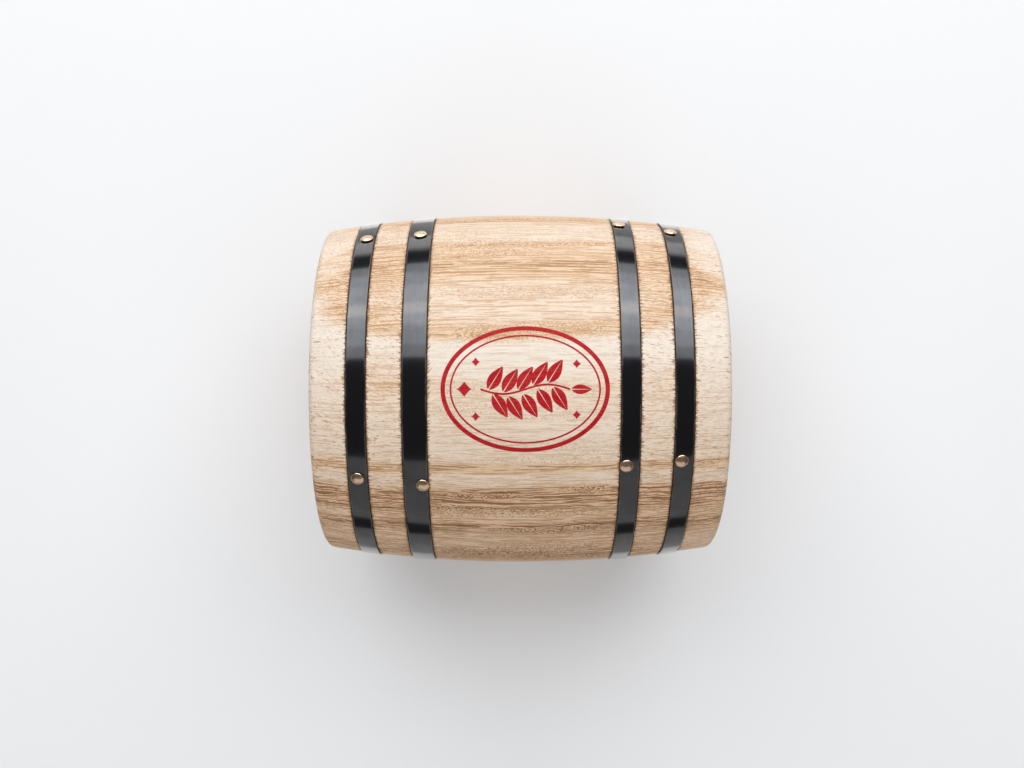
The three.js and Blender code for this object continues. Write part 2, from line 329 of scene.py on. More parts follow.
@dataclass(frozen=True)
class FibreSizes:
    """The patterns of the wood's fibres. A pair is of limits, or of levels for closed and for open wood."""

    sway: float = 2.0
    swaying: Pattern = Pattern(0.035, 0.035)
    wobbling: Pattern = Pattern(0.12, 0.3)
    threads: Pattern = Pattern(0.026, 1.15, 2.0, 0.6)
    thread_width: float = 0.05
    thread_share: float = 0.8
    pulls: Pattern = Pattern(0.05, 0.5)
    pull_levels: Point = (0.42, 0.20)
    pull_softness: float = 0.24
    pore_rows: tuple[PoreRows, ...] = (
        PoreRows(0.85, 0.21, 15.0), PoreRows(1.3, 0.24, 14.0), PoreRows(2.3, 0.30, 24.0)
    )
    pore_radius: float = 64.0
    pore_runs: Pattern = Pattern(1.0, 1.0)
    pore_levels: Point = (0.60, 0.43)
    pore_softness: float = 0.05
    pore_core: float = 0.4
    row_offset: float = 7.3
    dots: Pattern = Pattern(1.25, 2.1)
    dot_levels: Point = (0.58, 0.47)
    dot_softness: float = 0.05
    dotted_areas: Pattern = Pattern(0.01, 0.16, 0.0)
    dotted_limits: Point = (0.50, 0.56)
    dotted_along: Point = (34.0, 26.0)
    dotted_pores: float = 0.5
    slant: float = 0.36
    slant_from: float = -50.0
    slant_along: Point = (-28.0, -36.0)
    slant_aside: Point = (-25.0, 0.0)
    ticks: Pattern = Pattern(0.42, 1.9)
    tick_levels: Point = (0.76, 0.40)
    tick_softness: float = 0.06
    outer_along: Point = (26.0, 34.0)
    outer_aside: Point = (-28.0, -8.0)
    long_grain: Pattern = Pattern(0.06, 2.2, 2.0, 0.7)
    short_grain: Pattern = Pattern(0.45, 2.5, 2.0, 0.65)
    shortness: Point = (0.42, 0.85)
    flecks: Pattern = Pattern(1.5, 0.3)
    fleck_limits: Point = (0.50, 0.62)
    grain_height: float = 0.4


class SharedEffects:
    """The shader groups that finishes share, each built once."""

    clouds: Pattern = Pattern(1.0, 1.0, 3.0, 0.6)
    specks: Pattern = Pattern(1.0, 1.0, 0.0)
    speck_limits: Point = (0.76, 0.80)

    def __init__(self) -> None:
        """Build every group."""
        self.rings = self._growth_rings(LogPlaces())
        self.fibres = self._wood_fibres(FibreSizes())
        self.scuffs = self._scuffs()

    def _growth_rings(self, log: LogPlaces) -> bpy.types.NodeTree:
        """Build the rings of a slightly bowed log whose grain runs along X.

        Args:
            log: Where the log bends.

        Returns:
            A group that turns a position in millimetres into a brownness of 0 to 1.6.
        """
        vectors = ("position", "outward", "sideways")
        group = SharedGroup("growth_rings", vectors, (*LOG_BENDS, "wander"), ("brown",))
        sheet, given = group.sheet, group.given
        place = given["position"]
        x, y, z = sheet.split(place)
        depth = sheet.vector("DOT_PRODUCT", place, given["outward"])
        aside = sheet.vector("DOT_PRODUCT", place, given["sideways"])
        beyond = sheet.larger(aside, 0.0) * given["twist"] * (1.0 - abs(x).ease(*log.end_along))
        square = x * x
        bowed = depth + square * (given["bow"] + beyond)
        veer = x.ease(*log.base_veer_along) + x.ease(*log.lid_veer_along) * log.lid_veer_share
        level = x.ease(*log.level_along) * aside.ease(*log.level_aside)
        bowed = bowed + x * aside * given["skew"] * (veer * (1.0 - level))
        bowed = bowed - square * x * given["tilt"]
        bowed = bowed - x.ease(*log.tip_along) * aside.ease(*log.tip_aside) * given["tip"]
        slack = sheet.lerp(bowed.ease(*log.slack_deep), log.least_slack, 1.0)
        slow = (sheet.noise(place, log.slow_wander) - 0.5) * (slack * log.slow_share)
        streaks = (sheet.noise(place, log.quick_wander) - 0.5) * slack
        ring = (bowed + (slow + streaks) * given["wander"]) / (2 * RING_SPAN) + 0.5
        ramps = []
        for zones in (RING_ZONES, FAR_RING_ZONES):
            stops = [(deep / (2 * RING_SPAN) + 0.5, shade / BROWNEST) for deep, shade in zones]
            ramps.append(sheet.ramp(ring, stops))
        brown = sheet.lerp(aside.ease(*log.far_aside), *ramps)
        pale = abs(x).ease(*log.pale_along) * given["pale_ends"] * bowed.ease(*log.pale_deep)
        tanned = aside.ease(*log.tanned_aside) * x.ease(*log.tanned_along)
        pale = pale * sheet.lerp(tanned, 1.0, log.tanned_share)
        under = depth.ease(*log.under_deep) * x.ease(*log.under_along) * log.under_share
        pale = pale * sheet.larger(aside.ease(*log.pale_aside), under)
        along = (x - log.flame_middle[0]) / log.flame_size[0]
        across = (y - log.flame_middle[1]) / log.flame_size[1]
        flame = sheet.vector("LENGTH", sheet.join(along, across, 0.0)).ease(*log.flame_edge)
        flame = flame * z.ease(*log.flame_height) * given["flame"] * streaks.ease(*log.flame_streaks)
        group.put_out(brown=(brown * (1.0 - pale) + flame) * BROWNEST)
        return group.tree

    def _pores(self, sheet: NodeSheet, size: FibreSizes, place: Wire, openness: Wire) -> Wire:
        """Return a mask of thin broken lines that run along X, in rows round the X axis.

        Args:
            sheet: The group's nodes.
            size: The sizes of the rows.
            place: The place in millimetres.
            openness: How open the pores are, where 0 is closed and 1 is open.

        Returns:
            The mask, 0 to 1.
        """
        x, y, z = sheet.split(place)
        turn = sheet.math("ARCTAN2", y, z) * size.pore_radius
        level = sheet.lerp(openness, *size.pore_levels)
        pores = 0.0
        for rows in size.pore_rows:
            row = turn / rows.pitch
            aside = abs(sheet.math("FRACT", row) - 0.5)
            number = sheet.math("FLOOR", row) * size.row_offset
            run = sheet.noise(sheet.join(x / rows.breaks, number, rows.pitch), size.pore_runs)
            edge = rows.half_width / rows.pitch
            line = aside.ease(edge, size.pore_core * edge) * run.over(level, size.pore_softness)
            pores = sheet.larger(pores, line)
        return pores

    def _wood_fibres(self, size: FibreSizes) -> bpy.types.NodeTree:
        """Build the pores, torn ends and ray flecks of wood whose grain runs along X.

        Args:
            size: The sizes of the patterns.

        Returns:
            A group that gives masks of dark lines, torn ends and flecks, a grain value about 0 and a height.
        """
        results = ("lines", "ticks", "grain", "flecks", "height")
        group = SharedGroup("wood_fibres", ("position",), ("open", "torn"), results)
        sheet, given = group.sheet, group.given
        place, openness = given["position"], given["open"]
        x, y, _ = sheet.split(place)
        sway = sheet.noise(place, size.swaying) * size.sway
        swayed = sheet.vector("ADD", place, sheet.join(0.0, sway, sway))
        threads = abs(sheet.noise(swayed, size.threads) - 0.5).ease(size.thread_width, 0.0)
        pull_level = sheet.lerp(openness, *size.pull_levels)
        threads = threads * sheet.noise(swayed, size.pulls).over(pull_level, size.pull_softness)
        wobble = sheet.noise(place, size.wobbling)
        wobbled = sheet.vector("ADD", swayed, sheet.join(0.0, wobble, wobble))
        pores = self._pores(sheet, size, wobbled, openness)
        dot_level = sheet.lerp(openness, *size.dot_levels)
        dots = sheet.noise(swayed, size.dots).over(dot_level, size.dot_softness)
        dotted = sheet.noise(swayed, size.dotted_areas).ease(*size.dotted_limits)
        dotted = dotted * abs(x).ease(*size.dotted_along)
        short = sheet.lerp(dotted, pores, sheet.larger(dots, pores * size.dotted_pores))
        lines = sheet.larger(threads * size.thread_share, short)
        slanting = x.ease(*size.slant_along) * y.ease(*size.slant_aside)
        slant = (x - size.slant_from) * size.slant * slanting
        slanted = sheet.vector("ADD", place, sheet.join(0.0, slant, 0.0))
        tick_level = sheet.lerp(given["torn"], *size.tick_levels)
        outer = abs(x).ease(*size.outer_along) * y.ease(*size.outer_aside)
        shortness = sheet.lerp(outer, *size.shortness)
        grains = (sheet.noise(place, size.long_grain), sheet.noise(slanted, size.short_grain))
        grain = sheet.lerp(shortness, *grains) - 0.5
        group.put_out(
            lines=lines,
            ticks=sheet.noise(slanted, size.ticks).over(tick_level, size.tick_softness),
            grain=grain,
            flecks=sheet.noise(swayed, size.flecks).ease(*size.fleck_limits),
            height=grain * size.grain_height - lines,
        )
        return group.tree

    def _scuffs(self) -> bpy.types.NodeTree:
        """Build faint cloudy wear and small specks for smooth surfaces.

        Returns:
            A group that gives a cloud value and a mask of specks.
        """
        group = SharedGroup("scuffs", ("position",), ("cloud_size", "speck_size"), ("cloud", "specks"))
        sheet, given = group.sheet, group.given
        places = []
        for name in ("cloud_size", "speck_size"):
            places.append(sheet.vector("DIVIDE", given["position"], sheet.join(*[given[name]] * 3)))
        specks = sheet.noise(places[1], self.specks).ease(*self.speck_limits)
        group.put_out(cloud=sheet.noise(places[0], self.clouds), specks=specks)
        return group.tree


class Finish:
    """A material with one Principled BSDF, reading places on the object in millimetres."""

    def __init__(self, name: str, effects: SharedEffects, axis_height: float, turn: Triple) -> None:
        """Make the bare material.

        Args:
            name: The material's name.
            effects: The shader groups that finishes share.
            axis_height: Height of the barrel's axis above the floor, from which places are measured.
            turn: Angles about X, Y and Z that turn the pattern.
        """
        self.effects = effects
        self.material = bpy.data.materials.new(name)
        self.material.use_nodes = True
        self.sheet = NodeSheet(self.material.node_tree)
        self.sheet.tree.nodes.clear()
        self.surface = self.sheet.add("ShaderNodeBsdfPrincipled")
        self.sheet.add("ShaderNodeOutputMaterial", {0: Wire(self.sheet, self.surface.outputs[0])})
        given = self.sheet.get("ShaderNodeTexCoord", output="Object")
        moved = self.sheet.vector("SUBTRACT", given, (0.0, 0.0, axis_height * MM))
        angles = [math.radians(angle) for angle in turn]
        sizes = {"Vector": moved, "Rotation": angles, "Scale": (1 / MM, 1 / MM, 1 / MM)}
        self.place = self.sheet.get("ShaderNodeMapping", sizes)

    def shared(self, tree: bpy.types.NodeTree, **inputs: Any) -> dict[str, Wire]:
        """Place a shared group at the object's places and return its outputs."""
        node = self.sheet.add("ShaderNodeGroup", node_tree=tree)
        for name, value in {"position": self.place, **inputs}.items():
            self.sheet.feed(node.inputs[name], value)
        return self.sheet.outputs(node)

    def scuffs(self, cloud_size: float, speck_size: float) -> dict[str, Wire]:
        """Return clouds and specks of the sizes given."""
        return self.shared(self.effects.scuffs, cloud_size=cloud_size, speck_size=speck_size)

    def attribute(self, name: str) -> Wire:
        """Return a named value of the mesh."""
        return self.sheet.get("ShaderNodeAttribute", output="Fac", attribute_name=name)

    def set(self, **inputs: Any) -> None:
        """Fill the surface's inputs, with underscores for the spaces in their names."""
        for name, value in inputs.items():
            self.sheet.feed(self.surface.inputs[name.replace("_", " ")], value)

    def roughen(self, pattern: Wire, roughness: Point) -> None:
        """Give the surface its least roughness and what a pattern adds to it."""
        self.set(Roughness=pattern * roughness[1] + roughness[0])

    def bump(self, height: Wire, relief: Point) -> None:
        """Give the surface a relief of a full depth in millimetres, and how much of it shows."""
        inputs = {"Height": height, "Distance": relief[0] * MM, "Strength": relief[1]}
        self.set(Normal=self.sheet.get("ShaderNodeBump", inputs))


@dataclass(frozen=True)
class Look:
    """The look of a surface, which becomes a material of the same name.

    In the looks below, scuff_sizes are the sizes of clouds and specks, roughness is the least roughness and
    what the pattern adds to it, and relief is a depth in millimetres and how much of it shows.
    """

    name: str
    turn: ClassVar[Triple] = (0.0, 0.0, 0.0)

    def material(self, effects: SharedEffects, axis_height: float) -> bpy.types.Material:
        """Build the material.

        Args:
            effects: The shader groups that finishes share.
            axis_height: Height of the barrel's axis above the floor.

        Returns:
            The finished material.
        """
        finish = Finish(self.name, effects, axis_height, self.turn)
        self.dress(finish, finish.sheet)
        return finish.material

    def dress(self, finish: Finish, sheet: NodeSheet) -> None:
        """Give the surface its colours, its shine and its relief."""
        raise NotImplementedError


@dataclass(frozen=True)
class BareWood(Look):
    """Sanded bare wood with open pores. Its rings come from a log cut at an angle to the top.

    Names that end in span are pairs of brownnesses, where a change starts and where it is full. Names that
    start with torn are the same for how torn the wood is. A tornness above 1 stands for painted shade in the
    hoops' grooves.
    """

    turn: Triple = (0.0, 0.0, 0.0)
    ring_angle: float = -27.6
    bow: float = 0.00075
    twist: float = 0.000027
    skew: float = 0.00033
    tilt: float = 0.0000006
    tip: float = 0.3
    flame: float = 0.28
    pale_ends: float = 0.7
    checks: float = 1.0
    wander: float = 2.2
    scuff_sizes: Point = (16.0, 1.0)
    shine: float = 0.15
    roughness: Point = (0.6, 0.2)
    relief: Point = (0.08, 0.6)
    unevenness: float = 1.2
    opening: float = 0.62
    tan_span: Point = (0.0, 1.1)
    brown_span: Point = (0.95, 1.5)
    grain_share: float = 1.875
    brown_grain: float = 2.625
    late_grain: float = 1.25
    late_span: Point = (0.85, 1.3)
    bright_span: Point = (0.5, 1.25)
    fleck_share: float = 0.09
    line_span: Point = (0.8, 1.22)
    line_share_span: Point = (0.0, 1.2)
    line_shares: Point = (0.26, 0.98)
    tick_share: float = 0.8
    torn_dark: Point = (0.3, 0.8)
    # The next pair paints shade into the hoops' grooves, from where the tornness passes 1.
    torn_shaded: Point = (1.0, 1.8)
    check_pattern: Pattern = Pattern(0.02, 0.9)
    check_along: Point = (61.0, 71.0)
    check_levels: Point = (0.88, 0.67)
    check_softness: float = 0.04
    check_share: float = 0.7
    cream: Colour = (0.87, 0.78, 0.68, 1.0)
    tan: Colour = (0.805, 0.56, 0.355, 1.0)
    brown: Colour = (0.84, 0.54, 0.345, 1.0)
    deep: Colour = (0.46, 0.25, 0.12, 1.0)
    line: Colour = (0.56, 0.30, 0.135, 1.0)
    dark_line: Colour = (0.25, 0.12, 0.055, 1.0)
    # Painted shade for the hoops' grooves.
    groove_shade: Colour = (0.10, 0.055, 0.03, 1.0)

    def dress(self, finish: Finish, sheet: NodeSheet) -> None:
        """Give the wood its rings, its grain, its pores, its torn edges and the painted shade in its grooves.
        """
        angle = math.radians(self.ring_angle)
        bends = {name: getattr(self, name) for name in (*LOG_BENDS, "wander")}
        outward = (0.0, -math.sin(angle), math.cos(angle))
        sideways = (0.0, math.cos(angle), math.sin(angle))
        rings = finish.shared(finish.effects.rings, outward=outward, sideways=sideways, **bends)
        brown = rings["brown"]
        uneven = (finish.scuffs(*self.scuff_sizes)["cloud"] - 0.5) * self.unevenness
        # The torn attribute also holds the painted shade of the grooves, as values above 1.
        torn = finish.attribute("torn")
        fibres = finish.shared(finish.effects.fibres, open=brown * self.opening + uneven, torn=torn)
        base = sheet.blend(brown.ease(*self.tan_span, "LINEAR"), self.cream, self.tan)
        base = sheet.blend(brown.ease(*self.brown_span), base, self.brown)
        late = brown.ease(*self.late_span) * self.late_grain
        grain = fibres["grain"] * (brown * self.brown_grain + self.grain_share + late)
        base = sheet.blend(-grain, base, self.deep)
        bright = sheet.blend(brown.ease(*self.bright_span), self.cream, self.tan)
        base = sheet.blend(grain, base, bright)
        base = sheet.blend(fibres["flecks"] * self.fleck_share, base, self.cream)
        line = sheet.blend(brown.ease(*self.line_span), self.line, self.dark_line)
        share = sheet.lerp(brown.ease(*self.line_share_span, "LINEAR"), *self.line_shares)
        colour = sheet.blend(fibres["lines"] * share, base, line)
        tick = sheet.blend(torn.ease(*self.torn_dark), self.line, self.dark_line)
        colour = sheet.blend(fibres["ticks"] * self.tick_share, colour, tick)
        if self.checks:
            colour = sheet.blend(self._end_checks(finish, sheet), colour, self.dark_line)
        # Painted shade: where the tornness passes 1, in and beside the hoops' grooves, the wood turns dark
        # brown.
        colour = sheet.blend(torn.ease(*self.torn_shaded), colour, self.groove_shade)
        finish.set(Base_Color=colour, Specular_IOR_Level=self.shine)
        finish.roughen(fibres["lines"], self.roughness)
        finish.bump(fibres["height"], self.relief)

    def _end_checks(self, finish: Finish, sheet: NodeSheet) -> Wire:
        """Return a mask of the short cracks that run in from both rims."""
        near_rim = abs(sheet.split(finish.place)[0]).ease(*self.check_along, "LINEAR")
        level = sheet.lerp(near_rim, *self.check_levels)
        cracked = sheet.noise(finish.place, self.check_pattern).over(level, self.check_softness)
        return cracked * (self.check_share * self.checks)


def sawn_wood(name: str, turn: Triple, ring_angle: float) -> BareWood:
    """Return the wood of a small piece sawn from a straight log.

    Args:
        name: The material's name.
        turn: Angles about X, Y and Z that turn the grain.
        ring_angle: The angle at which the rings cross the piece.

    Returns:
        The wood, without the bends and the cracked ends of the log.
    """
    return BareWood(name, turn, ring_angle, **dict.fromkeys((*LOG_BENDS, "checks"), 0.0))


@dataclass(frozen=True)
class BlackEnamel(Look):
    """Satin black enamel on steel strip, drawn lengthways and rubbed at the strip's edges."""

    name: str = "black_enamel"
    enamel: Colour = (0.008, 0.008, 0.009, 1.0)
    rubbed: Colour = (0.065, 0.055, 0.05, 1.0)
    drawn_lines: Pattern = Pattern(2.2, 0.06, 3.0, 0.7)
    rub_limits: Point = (0.35, 0.6)
    speck_share: float = 0.2
    cloud_share: float = 0.62
    coat_limits: Point = (0.15, 0.85)
    coat_roughness: float = 0.08
    scuff_sizes: Point = (7.0, 0.4)
    shine: float = 0.75
    roughness: Point = (0.06, 0.08)
    drawn_roughness: float = 0.06
    worn_roughness: float = 0.2
    relief: Point = (0.02, 0.4)

    def dress(self, finish: Finish, sheet: NodeSheet) -> None:
        """Give the enamel its mottled coat and its rubbed edges."""
        scuffs = finish.scuffs(*self.scuff_sizes)
        drawn = sheet.noise(finish.place, self.drawn_lines)
        patchy = finish.attribute("rim") * scuffs["cloud"].ease(*self.rub_limits)
        worn = sheet.larger(patchy, scuffs["specks"] * self.speck_share)
        mottled = sheet.lerp(self.cloud_share, drawn, scuffs["cloud"])
        finish.set(Base_Color=sheet.blend(worn, self.enamel, self.rubbed), Specular_IOR_Level=self.shine)
        finish.set(Coat_Weight=mottled.ease(*self.coat_limits), Coat_Roughness=self.coat_roughness)
        rough = scuffs["cloud"] * self.roughness[1] + self.roughness[0]
        finish.set(Roughness=rough + drawn * self.drawn_roughness + worn * self.worn_roughness)
        finish.bump(drawn, self.relief)


@dataclass(frozen=True)
class TarnishedCopper(Look):
    """Copper-plated tack heads, some more golden and some pinker."""

    name: str = "tarnished_copper"
    golden: Colour = (0.95, 0.74, 0.45, 1.0)
    pink: Colour = (0.97, 0.64, 0.46, 1.0)
    grime: Colour = (0.09, 0.055, 0.035, 1.0)
    grime_limits: Point = (0.2, 0.6)
    metallic: float = 0.92
    scuff_sizes: Point = (1.1, 0.3)
    roughness: Point = (0.15, 0.2)
    relief: Point = (0.08, 0.6)

    def dress(self, finish: Finish, sheet: NodeSheet) -> None:
        """Give the copper its tint and the grime round its foot."""
        cloud = finish.scuffs(*self.scuff_sizes)["cloud"]
        metal = sheet.blend(finish.attribute("tint"), self.golden, self.pink)
        dirty = finish.attribute("foot") * cloud.ease(*self.grime_limits)
        finish.set(Base_Color=sheet.blend(dirty, metal, self.grime), Metallic=self.metallic)
        finish.roughen(cloud, self.roughness)
        finish.bump(cloud, self.relief)


@dataclass(frozen=True)
class SmoothFinish(Look):
    """A plain smooth finish with faint clouding: the seal's silicone and the screw's zinc."""

    colour: Colour
    clouded: Colour
    roughness: Point
    metallic: float
    scuff_sizes: Point = (3.0, 0.4)
    relief: Point = (0.03, 0.3)

    def dress(self, finish: Finish, sheet: NodeSheet) -> None:
        """Give the surface its clouding."""
        cloud = finish.scuffs(*self.scuff_sizes)["cloud"]
        finish.set(Base_Color=sheet.blend(cloud, self.colour, self.clouded), Metallic=self.metallic)
        finish.roughen(cloud, self.roughness)
        finish.bump(cloud, self.relief)


@dataclass(frozen=True)
class RedInk(Look):
    """Red printing ink, thin enough for the grain to show in it."""

    name: str = "red_ink"
    ink: Colour = (0.42, 0.006, 0.012, 1.0)
    thin: Colour = (0.50, 0.03, 0.03, 1.0)
    openness: float = 0.5
    shine: float = 0.1
    roughness: Point = (0.55, 0.2)
    relief: Point = (0.05, 0.4)

    def dress(self, finish: Finish, sheet: NodeSheet) -> None:
        """Give the ink its red, thinner over the pores."""
        fibres = finish.shared(finish.effects.fibres, open=self.openness)
        colour = sheet.blend(fibres["lines"], self.ink, self.thin)
        finish.set(Base_Color=colour, Specular_IOR_Level=self.shine)
        finish.roughen(fibres["lines"], self.roughness)
        finish.bump(fibres["height"], self.relief)


def keep_result(piece: bpy.types.Object) -> None:
    """Make what an object's modifiers give its plain mesh, and remove them."""
    bpy.context.view_layer.update()
    graph = bpy.context.evaluated_depsgraph_get()
    mesh = bpy.data.meshes.new_from_object(piece.evaluated_get(graph))
    piece.modifiers.clear()
    source = piece.data
    piece.data = mesh
    mesh.name = piece.name
    bpy.data.meshes.remove(source)


class GeometryTree:
    """A Geometry Nodes tree with named inputs, whose result becomes a plain mesh."""

    def __init__(self, name: str, inputs: dict[str, str]) -> None:
        """Make the empty tree.

        Args:
            name: The tree's name.
            inputs: Socket type by input name. A geometry comes first and a material last, always.
        """
        self.tree = bpy.data.node_groups.new(name, "GeometryNodeTree")
        self.names: dict[str, str] = {}
        sockets = {"geometry": "NodeSocketGeometry", **inputs, "material": MATERIAL}
        for socket, kind in sockets.items():
            made = self.tree.interface.new_socket(name=socket, in_out="INPUT", socket_type=kind)
            self.names[socket] = made.identifier
        self.tree.interface.new_socket(name="geometry", in_out="OUTPUT", socket_type="NodeSocketGeometry")
        self.sheet = NodeSheet(self.tree)
        self.given = self.sheet.outputs(self.sheet.add("NodeGroupInput"))

    def end(self, geometry: Wire) -> None:
        """Finish the tree: realize what is instanced and set the material."""
        realized = self.sheet.get("GeometryNodeRealizeInstances", {"Geometry": geometry})
        inputs = {"Geometry": realized, "Material": self.given["material"]}
        self.sheet.add("NodeGroupOutput", {0: self.sheet.get("GeometryNodeSetMaterial", inputs)})

    def attribute(self, name: str, kind: str) -> Wire:
        """Read a named attribute of the input geometry."""
        return self.sheet.get("GeometryNodeInputNamedAttribute", {"Name": name}, "Attribute", data_type=kind)

    def run(self, piece: bpy.types.Object, **inputs: Any) -> None:
        """Run the tree on an object and keep the result as its plain mesh.

        Args:
            piece: The object that holds the tree's input mesh.
            **inputs: The tree's inputs.
        """
        modifier = piece.modifiers.new("shape", "NODES")
        modifier.node_group = self.tree
        for name, value in inputs.items():
            modifier[self.names[name]] = value
        keep_result(piece)


class LatheTree(GeometryTree):
    """Turns a profile line of (x, 0, radius) points round the barrel's axis."""

    chatter: Pattern = Pattern(60.0, 60.0, 2.0, 0.7)
    chatter_along: float = 200.0
    joint: float = 1e-6

    def __init__(self) -> None:
        """Build the tree."""
        values = dict.fromkeys(("axis_height", "crease", "raggedness"), VALUE)
        super().__init__("turned_on_a_lathe", {"stations": WHOLE_NUMBER, **values})
        sheet, given = self.sheet, self.given
        profile = given["geometry"]
        points = sheet.get("GeometryNodeAttributeDomainSize", {0: profile}, "Point Count")
        sizes = {"Size X": 1.0, "Size Y": 1.0, "Vertices X": points, "Vertices Y": given["stations"] + 1.0}
        grid = sheet.get("GeometryNodeMeshGrid", sizes, "Mesh")
        position = sheet.get("GeometryNodeInputPosition")
        across, around, _ = sheet.split(position)
        row = sheet.math("ROUND", (across + 0.5) * (points - 1.0))
        angle = (around + 0.5) * math.tau
        torn = self._sample(self.attribute("torn", "FLOAT"), row, "FLOAT")
        inputs = {"Geometry": grid, "Name": "torn", "Value": torn}
        marked = sheet.get("GeometryNodeStoreNamedAttribute", inputs, data_type="FLOAT", domain="POINT")
        ragged = self._sample(self.attribute("ragged", "FLOAT"), row, "FLOAT")
        along, _, radius = sheet.split(self._sample(position, row, "FLOAT_VECTOR"))
        sine, cosine = sheet.math("SINE", angle), sheet.math("COSINE", angle)
        chatter = sheet.noise(sheet.join(along * self.chatter_along, sine, cosine), self.chatter)
        along = along + (chatter - 0.5) * given["raggedness"] * ragged
        place = sheet.join(along, -(radius * sine), radius * cosine + given["axis_height"])
        turned = sheet.get("GeometryNodeSetPosition", {"Geometry": marked, "Position": place})
        closed = sheet.get("GeometryNodeMergeByDistance", {"Geometry": turned, "Distance": self.joint})
        smooth = sheet.get("GeometryNodeSetShadeSmooth", {"Geometry": closed})
        bend = sheet.get("GeometryNodeInputMeshEdgeAngle", output="Unsigned Angle")
        sharp = sheet.math("GREATER_THAN", bend, given["crease"])
        inputs = {"Geometry": smooth, "Selection": sharp, "Shade Smooth": False}
        self.end(sheet.get("GeometryNodeSetShadeSmooth", inputs, domain="EDGE"))

    def _sample(self, value: Wire, row: Wire, kind: str) -> Wire:
        """Read a value from one point of the profile."""
        node = self.sheet.add("GeometryNodeSampleIndex", data_type=kind, domain="POINT")
        for name, given in (("Geometry", self.given["geometry"]), ("Value", value), ("Index", row)):
            self.sheet.feed(node.inputs[name], given)
        return Wire(self.sheet, node.outputs[0])


class ScatterTree(GeometryTree):
    """Sets copies of one shape on points, each turned to the point's own axis and scaled at random."""

    def __init__(self) -> None:
        """Build the tree."""
        sizes = {"smallest": VECTOR, "largest": VECTOR, "spin": VALUE, "share": VALUE, "seed": WHOLE_NUMBER}
        super().__init__("set_on_points", {"shape": "NodeSocketObject", **sizes})
        sheet, given = self.sheet, self.given
        shape = sheet.get("GeometryNodeObjectInfo", {"Object": given["shape"]}, "Geometry")
        inputs = {"Vector": self.attribute("stands", "FLOAT_VECTOR")}
        upright = sheet.get("FunctionNodeAlignRotationToVector", inputs, axis="Z")
        inputs = {"Rotation": upright, "Vector": self.attribute("points", "FLOAT_VECTOR")}
        facing = sheet.get("FunctionNodeAlignRotationToVector", inputs, axis="X", pivot_axis="Z")
        spin = self._random("FLOAT", -given["spin"], given["spin"], 0)
        inputs = {"Rotation": facing, "Rotate By": sheet.join(0.0, 0.0, spin)}
        inputs = {
            "Points": given["geometry"],
            "Selection": self._random("BOOLEAN", None, None, 1),
            "Instance": shape,
            "Rotation": sheet.get("FunctionNodeRotateRotation", inputs, rotation_space="LOCAL"),
            "Scale": self._random("FLOAT_VECTOR", given["smallest"], given["largest"], 2),
        }
        self.end(sheet.get("GeometryNodeInstanceOnPoints", inputs))

    def _random(self, kind: str, low: Wire | None, high: Wire | None, offset: int) -> Wire:
        """Return a random value for each point, from the tree's seed."""
        seed = self.given["seed"] + float(offset)
        node = self.sheet.add("FunctionNodeRandomValue", {"Seed": seed}, data_type=kind)
        if kind == "BOOLEAN":
            self.sheet.feed(node.inputs["Probability"], self.given["share"])
        else:
            shown = [socket for socket in node.inputs if socket.enabled and socket.name in ("Min", "Max")]
            self.sheet.feed(shown[0], low)
            self.sheet.feed(shown[1], high)
        return Wire(self.sheet, next(socket for socket in node.outputs if socket.enabled))


def new_object(
    name: str, vertices: Iterable, edges: Iterable = (), faces: Iterable = ()
) -> bpy.types.Object:
    """Make an object at the origin from plain lists.

    Args:
        name: The object's name.
        vertices: Places in metres.
        edges: Pairs of vertex numbers.
        faces: Lists of vertex numbers.

    Returns:
        The new object, linked to the scene.
    """
    mesh = bpy.data.meshes.new(name)
    mesh.from_pydata(list(vertices), list(edges), list(faces))
    piece = bpy.data.objects.new(name, mesh)
    bpy.context.scene.collection.objects.link(piece)
    return piece


def mark(piece: bpy.types.Object, name: str, kind: str, values: Sequence) -> None:
    """Store one value for each vertex of a mesh.

    Args:
        piece: The object whose mesh is marked.
        name: The attribute's name.
        kind: FLOAT or FLOAT_VECTOR.
        values: The values, in the order of the vertices.
    """
    attribute = piece.data.attributes.new(name, kind, "POINT")
    for item, value in zip(attribute.data, values):
        if kind == "FLOAT_VECTOR":
            item.vector = value
        else:
            item.value = value


def face_outwards(piece: bpy.types.Object) -> None:
    """Turn the faces of a closed mesh outwards."""
    mesh = bmesh.new()
    mesh.from_mesh(piece.data)
    bmesh.ops.recalc_face_normals(mesh, faces=mesh.faces)
    mesh.to_mesh(piece.data)
    mesh.free()


def ring_faces(rings: int, around: int) -> list[tuple[int, ...]]:
    """Return the faces between rings of vertices that follow each other, each ring closed in itself.

    Args:
        rings: How many rings there are.
        around: How many vertices a ring has.

    Returns:
        The faces, as vertex numbers.
    """
    faces = []
    for ring in range(rings - 1):
        low, high = ring * around, (ring + 1) * around
        for i in range(around):
            j = (i + 1) % around
            faces.append((low + i, low + j, high + j, high + i))
    return faces


